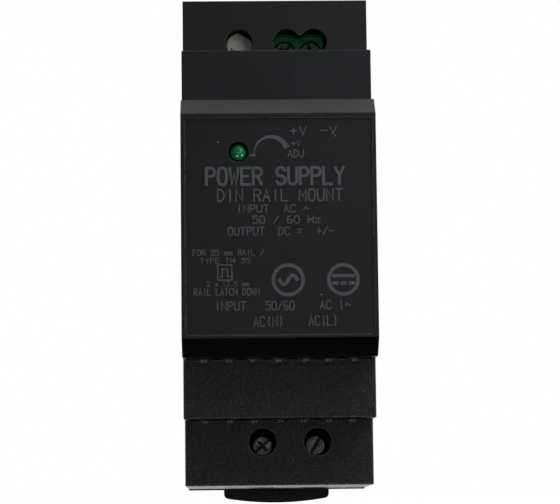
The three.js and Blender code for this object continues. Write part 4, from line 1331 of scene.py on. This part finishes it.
def build_choke():
    core_low, core_high = span("choke_core")
    centre = middle("choke_core")
    outer, half = (core_high.x - core_low.x) / 2, (core_high.z - core_low.z) / 2
    inner = 3.6
    ring = [
        (inner + 0.2, centre.z - half),
        (outer - 0.2, centre.z - half),
        (outer, centre.z - half + 0.2),
        (outer, centre.z + half - 0.2),
        (outer - 0.2, centre.z + half),
        (inner + 0.2, centre.z + half),
        (inner, centre.z + half - 0.2),
        (inner, centre.z - half + 0.2),
    ]
    ring = turned(ring, "z", (centre.x, centre.y), 64)
    piece("choke_ring", ring, FERRITE, replaces=("choke_core",))
    wire = 0.42
    for name, middle_angle in (("left", math.pi), ("right", 0.0)):
        points = []
        turns, steps = 9, 16
        for i in range(turns * steps + 1):
            t = i / steps
            angle = middle_angle + math.radians(57) * (2 * t / turns - 1)
            corner = 2 * math.pi * (t % 1.0)
            # A rounded rectangle round the core's section.
            a, b = math.cos(corner), math.sin(corner)
            scale = 1 / max(abs(a), abs(b)) ** 0.7
            mean, reach = (inner + outer) / 2, (outer - inner) / 2 + 0.25 + wire
            radius = mean + reach * a * scale * 0.93
            height = (half + 0.25 + wire) * b * scale * 0.93
            x, y = centre.x + radius * math.cos(angle), centre.y + radius * math.sin(angle)
            points.append((x, y, centre.z + height))
        coil = tube(points, wire, 8)
        piece(f"choke_coil_{name}", coil, COPPER, replaces=(f"choke_winding_{name}",))
    low, high = span("choke_base")
    cradle = cut(
        slab(low, high, 0.3, 2),
        rod("z", 7.55, low.z - 1, high.z + 1, (centre.x, centre.y), 72),
    )
    piece("choke_cradle", cradle, EPOXY, replaces=("choke_base",))


def build_bridge():
    low, high = span("bridge_rectifier")
    corner = 1.6
    outline = [
        (low.x, high.y - 2.6, 0.2),
        (high.x, high.y - 2.6, 0.2),
        (high.x, low.y, 0.2),
        (low.x + corner, low.y, 0.2),
        (low.x, low.y + corner, 0.2),
    ]
    body = cut(
        soften(prism(filleted(outline, 2), low.z, high.z, "z"), 0.2, 2, 60),
        rod("z", 1.6, low.z - 1, high.z + 1, (middle("bridge_rectifier").x, low.y + 4.6), 36),
    )
    piece("bridge_rectifier_body", body, EPOXY, replaces=("bridge_rectifier",))
    zc = (low.z + high.z) / 2
    x0 = middle("bridge_rectifier").x
    legs = [
        column(x0 + d, zc, 0.45, 0.25, high.y - 2.8, high.y + 0.25, 0.08, 1) for d in (-5.7, -1.9, 1.9, 5.7)
    ]
    piece("bridge_rectifier_legs", together(*legs), TIN)


def build_transformer():
    low, high = span("transformer_core")
    centre = middle("transformer_core")
    wide = 3.0
    windows = [
        slab((centre.x + a, low.y + wide, low.z - 1), (centre.x + b, high.y - wide, high.z + 1))
        for a, b in ((3, 6.3), (-6.3, -3))
    ]
    core = cut(
        slab(low, high, 0.15, 2),
        *windows,
        slab((low.x - 1, centre.y - 0.06, low.z - 1), (low.x + 0.4, centre.y + 0.06, high.z + 1)),
        slab((high.x - 0.4, centre.y - 0.06, low.z - 1), (high.x + 1, centre.y + 0.06, high.z + 1)),
    )
    piece("transformer_ferrite", core, FERRITE, replaces=("transformer_core",))

    low, high = span("transformer_bobbin")
    foot_top = high.y - 5.9
    flange_x, flange_z = 6.0, 7.4
    tube_half = 3.95
    body = joined(
        column(centre.x, centre.z, tube_half, tube_half, low.y + 0.1, foot_top + 0.4, 0.2),
        column(centre.x, centre.z, flange_x, flange_z, low.y, low.y + 0.8, 0.2),
        column(centre.x, centre.z, flange_x, flange_z, foot_top - 0.3, foot_top + 0.5, 0.2),
        slab((low.x, foot_top + 0.2, centre.z + 3.4), (high.x, high.y, high.z), 0.3),
        slab((low.x, foot_top + 0.2, low.z), (high.x, high.y, centre.z - 3.4), 0.3),
    )
    bore = column(centre.x, centre.z, 3.3, 3.3, low.y - 1, high.y + 1)
    piece("transformer_former", cut(body, bore), EPOXY, replaces=("transformer_bobbin",))

    low, high = span("transformer_winding")
    tape_outline = rectangle(low.x, high.x, low.z, high.z, 1.6, 6)
    layers = []
    turns = 6
    step = (high.y - low.y) / turns
    for k in range(turns):
        layer = prism(tape_outline, low.y + k * step + 0.02, low.y + (k + 1) * step - 0.02, "y")
        layers.append(soften(layer, 0.12, 2, 60))
    hole = column(centre.x, centre.z, 4.25, 4.25, low.y - 1, high.y + 1)
    taped = cut(together(*layers), hole)
    piece("transformer_taped_winding", taped, TAPE, replaces=("transformer_winding",))
    pins = []
    for side in (-1, 1):
        for k in range(4):
            x, z = centre.x - 6 + 4 * k, centre.z + side * 6.2
            pins.append(tube([(x, high.y + 2.2, z), (x, high.y + 6.4, z)], 0.35))
    piece("transformer_pins", together(*pins), TIN)


def build_power_device(kind):
    device, sink, screw = f"power_{kind}", f"{kind}_heat_sink", f"{kind}_sink_screw"
    low, high = span(device)
    zc = middle(device).z
    screw_y, screw_z = middle(screw).y, middle(screw).z
    tab = cut(
        slab((high.x - 1.3, low.y, low.z), (high.x, high.y - 3.7, high.z), 0.1, 1),
        rod("x", 1.85, high.x - 3, high.x + 1, (screw_y, screw_z), 32),
    )
    piece(f"{device}_tab", tab, TIN)
    body = slab((low.x, low.y + 6.4, low.z), (high.x - 1.2, high.y - 3.7, high.z), 0.25, 2)
    piece(f"{device}_body", body, EPOXY, replaces=(device,))
    legs = [
        slab((low.x + 1.3, high.y - 4.0, zc + d - 0.4), (low.x + 1.8, high.y + 0.25, zc + d + 0.4), 0.08, 1)
        for d in (-2.54, 0, 2.54)
    ]
    piece(f"{device}_legs", together(*legs), TIN)

    low, high = span(sink)
    wall = 1.4
    flange = 1.3
    plate = slab((high.x - wall, low.y, low.z), (high.x, high.y, high.z), 0.2, 2)
    fins = slab((low.x, low.y, low.z), (high.x - 0.3, low.y + flange, high.z), 0.2, 2)
    hole = rod("x", 1.5, high.x - 3, high.x + 1, (screw_y, screw_z), 32)
    grooves = [
        slab((high.x - 0.35, low.y + 2 + 2.2 * k, low.z - 1), (high.x + 1, low.y + 3 + 2.2 * k, high.z + 1))
        for k in range(9)
    ]
    piece(f"{sink}_plate", cut(joined(plate, fins), hole, *grooves), ALUMINIUM, replaces=(sink,))

    low, high = span(screw)
    pan = [(0, 0), (1.6, 0.15), (2.4, 0.7), (2.7, 1.5), (2.7, 2.0), (1.25, 2.05)]
    profile = [*[(r, low.x + h) for r, h in pan], (1.25, high.x), (0, high.x)]
    head = turned(profile, "x", (screw_y, screw_z), 40)
    slots = [
        slab((low.x - 1, screw_y - 0.35, screw_z - 1.6), (low.x + 1.0, screw_y + 0.35, screw_z + 1.6)),
        slab((low.x - 1, screw_y - 1.6, screw_z - 0.35), (low.x + 1.0, screw_y + 1.6, screw_z + 0.35)),
    ]
    piece(f"{screw}_pan_head", cut(head, *slots), STEEL, replaces=(screw,))


def build_small_parts():
    low, high = span("input_fuse")
    x, _, z = middle("input_fuse")
    r = (high.x - low.x) / 2
    case = [(0, high.y), (r - 0.15, high.y), (r, high.y - 0.4), (r, low.y + 0.6), (r - 0.25, low.y + 0.15)]
    case += [(r - 0.7, low.y), (r - 1.6, low.y), (r - 1.7, low.y + 0.12), (0, low.y + 0.12)]
    case = turned(case, "y", (x, z), 56)
    piece("input_fuse_case", case, FUSE_CASE, replaces=("input_fuse",))

    low, high = span("x_capacitor")
    box_body = cut(
        slab(low, high, 0.5, 3),
        slab((low.x + 1.2, high.y - 0.5, low.z - 1), (high.x - 1.2, high.y + 1, high.z + 1)),
    )
    piece("x_capacitor_box", box_body, FILM_BOX, replaces=("x_capacitor",))

    dipped_disc("surge_varistor", "surge_varistor_disc", BLUE_COAT, "x")
    dipped_disc("y_capacitor", "y_capacitor_disc", BLUE_COAT, "x")
    dipped_disc("inrush_thermistor", "inrush_thermistor_disc", GREEN_COAT, "z")

    low, high = span("output_choke")
    x, _, z = middle("output_choke")
    r = (high.x - low.x) / 2
    flange = [(0, 0), (r - 0.1, 0), (r, 0.1), (r, 0.9), (r - 0.1, 1.0), (1.7, 1.2)]
    drum = [(q, low.y + h) for q, h in flange] + [(q, high.y - h) for q, h in reversed(flange)]
    drum = turned(drum, "y", (x, z), 48)
    piece("output_choke_drum", drum, FERRITE, replaces=("output_choke",))
    turns, steps = 10, 20
    top, bottom = low.y + 1.4, high.y - 1.4
    coil = [
        (
            x + 1.98 * math.cos(2 * math.pi * i / steps),
            top + (bottom - top) * i / (turns * steps),
            z + 1.98 * math.sin(2 * math.pi * i / steps),
        )
        for i in range(turns * steps + 1)
    ]
    piece("output_choke_coil", tube(coil, 0.22, 8), COPPER)

    low, high = span("optocoupler")
    zc = middle("optocoupler").z
    body = slab((low.x + 0.7, low.y, low.z), (high.x - 0.7, high.y - 0.5, high.z), 0.2, 2)
    legs = []
    for d in (-1.27, 1.27):
        for x0, x1 in ((low.x, low.x + 0.9), (high.x - 0.9, high.x)):
            legs.append(slab((x0, high.y - 1.8, zc + d - 0.25), (x1, high.y, zc + d + 0.25), 0.08, 1))
    dot = rod("y", 0.35, low.y - 0.01, low.y + 0.1, (low.x + 1.5, high.z - 0.9), 16)
    piece("optocoupler_body", body, EPOXY, replaces=("optocoupler",))
    piece("optocoupler_legs", together(*legs), TIN)
    piece("optocoupler_dot", dot, LIGHT_PRINT)

    low, high = span("insulation_sheet")
    sheet = soften(prism(rectangle(low.x, high.x, low.z, high.z, 1.5), low.y, high.y, "y"), 0.08, 1, 60)
    piece("insulation_fibre_sheet", sheet, FIBRE, replaces=("insulation_sheet",))


build_boards()
build_chip()
can("bulk_capacitor", "bulk_capacitor_can", math.radians(60))
can("output_capacitor_left", "output_capacitor_left_can", math.radians(130))
can("output_capacitor_right", "output_capacitor_right_can", math.radians(80))
build_choke()
build_bridge()
build_transformer()
build_power_device("switch")
build_power_device("diode")
build_small_parts()

# ---- camera, light and floor ----


def build_camera():
    data = bpy.data.cameras.new("camera")
    data.sensor_width = 36.0
    data.lens = 135.1
    data.clip_start, data.clip_end = 0.01, 50
    camera = bpy.data.objects.new("camera", data)
    camera.location = (-7.91 * MM, (FRONT - 370.74) * MM, -47.79 * MM)
    camera.rotation_euler = [math.radians(a) for a in (96.597, 0.642, -1.160)]
    bpy.context.scene.collection.objects.link(camera)
    bpy.context.scene.camera = camera


GLINT_POWER = 18  # watts a square metre


def area_light(name, place, target, size, power, receiver=None):
    """A square softbox in metres and watts. One with a receiver lights that object only."""
    data = bpy.data.lights.new(name, "AREA")
    data.shape, data.size, data.energy = "SQUARE", size, power
    data.color = (0.94, 0.97, 1.0)
    light = bpy.data.objects.new(name, data)
    light.location = place
    light.rotation_euler = (Vector(target) - Vector(place)).to_track_quat("-Z", "Y").to_euler()
    bpy.context.scene.collection.objects.link(light)
    if receiver:
        only = bpy.data.collections.new(name + "_receiver")
        only.objects.link(receiver)
        light.light_linking.receiver_collection = only
    return light


def build_lights():
    aim = (0, -0.03, 0)
    area_light("top_softbox", (0.16, -0.16, 0.42), aim, 0.3, 0.35)
    area_light("front_softbox", (0.0, -0.5, -0.05), aim, 0.08, 0.15)
    area_light("right_softbox", (0.25, -0.4, 0.06), aim, 0.15, 0.075)
    area_light("upper_softbox", (0.1, -0.16, 0.1), aim, 0.08, 0.046)
    # Two small lamps that only the lens mirrors, low on its dome.
    lens = bpy.data.objects["led_lens_dome"]
    spot = middle("status_led") * MM
    glints = (("left_glint", (-0.02, -0.055, -0.055), 0.026), ("right_glint", (0.055, -0.03, -0.035), 0.032))
    for name, offset, size in glints:
        area_light(name, spot + Vector(offset), spot, size, GLINT_POWER * size**2, lens)


def build_world():
    """White to the camera. As light it is bright above and behind, dim in front and dark below."""
    world = bpy.data.worlds.new("studio")
    bpy.context.scene.world = world
    world.use_nodes = True
    world.node_tree.nodes.clear()
    sky = Nodes(world.node_tree)
    direction = sky.split(sky.node("TexCoord", {}).outputs["Generated"])
    x, y, z = (direction[axis] for axis in "XYZ")

    def ramp(source, start, end, low, high):
        return sky.spread(source, low, high, start, end, interpolation_type="SMOOTHSTEP")

    front = ramp(y, 0.2, -0.2, 0.0, 0.02)
    bounce = sky.product(ramp(y, -0.1, -0.5, 0.0, 0.02), ramp(z, -0.1, -0.5, 0.0, 1.0))
    overhead = ramp(z, 0.25, 0.9, 0.0, 0.22)
    # A lit backdrop behind the object, brightest in the middle, which the underside mirrors.
    panel = sky.product(ramp(sky.product(x, x), 0.3, 0.12, 0.7, 2.7), ramp(y, 0.2, 0.8, 0.0, 1.0))
    backdrop = sky.product(panel, ramp(z, -0.6, -0.3, 0.0, 1.0))
    level = sky.math("ADD", sky.math("ADD", front, bounce), sky.math("ADD", overhead, backdrop))
    level = sky.product(level, ramp(z, -0.97, -0.8, 0.0, 1.0))
    lit = sky.node("Background", {"Strength": level, "Color": (0.96, 0.98, 1.0, 1)})
    seen = sky.node("Background", {"Color": (1, 1, 1, 1)})
    camera_ray = sky.node("LightPath", {}).outputs["Is Camera Ray"]
    shaders = {"Fac": camera_ray, 1: lit.outputs["Background"], 2: seen.outputs["Background"]}
    mix = sky.node("MixShader", shaders)
    sky.node("OutputWorld", {"Surface": mix.outputs["Shader"]})


def build_floor():
    data = bpy.data.meshes.new("floor")
    half, level = 3.0, cad_box[0].z - LATCH_TRAVEL * MM - 0.0004
    corners = [(-half, -half, level), (half, -half, level), (half, half, level), (-half, half, level)]
    data.from_pydata(corners, [], [(0, 1, 2, 3)])
    glow = {"Emission Color": (1, 1, 1, 1), "Emission Strength": 0.55}
    paint = Look("floor_paint", (0.8, 0.8, 0.8), 0.9, **glow)
    paint.tint(paint.noise(400, 2), (0.78, 0.78, 0.78))
    data.materials.append(paint.material)
    floor = bpy.data.objects.new("floor", data)
    bpy.context.scene.collection.objects.link(floor)
    floor.visible_diffuse = False
    floor.visible_glossy = False
    floor.visible_transmission = False


build_camera()
build_lights()
build_world()
build_floor()
bpy.context.scene.view_settings.view_transform = "Standard"
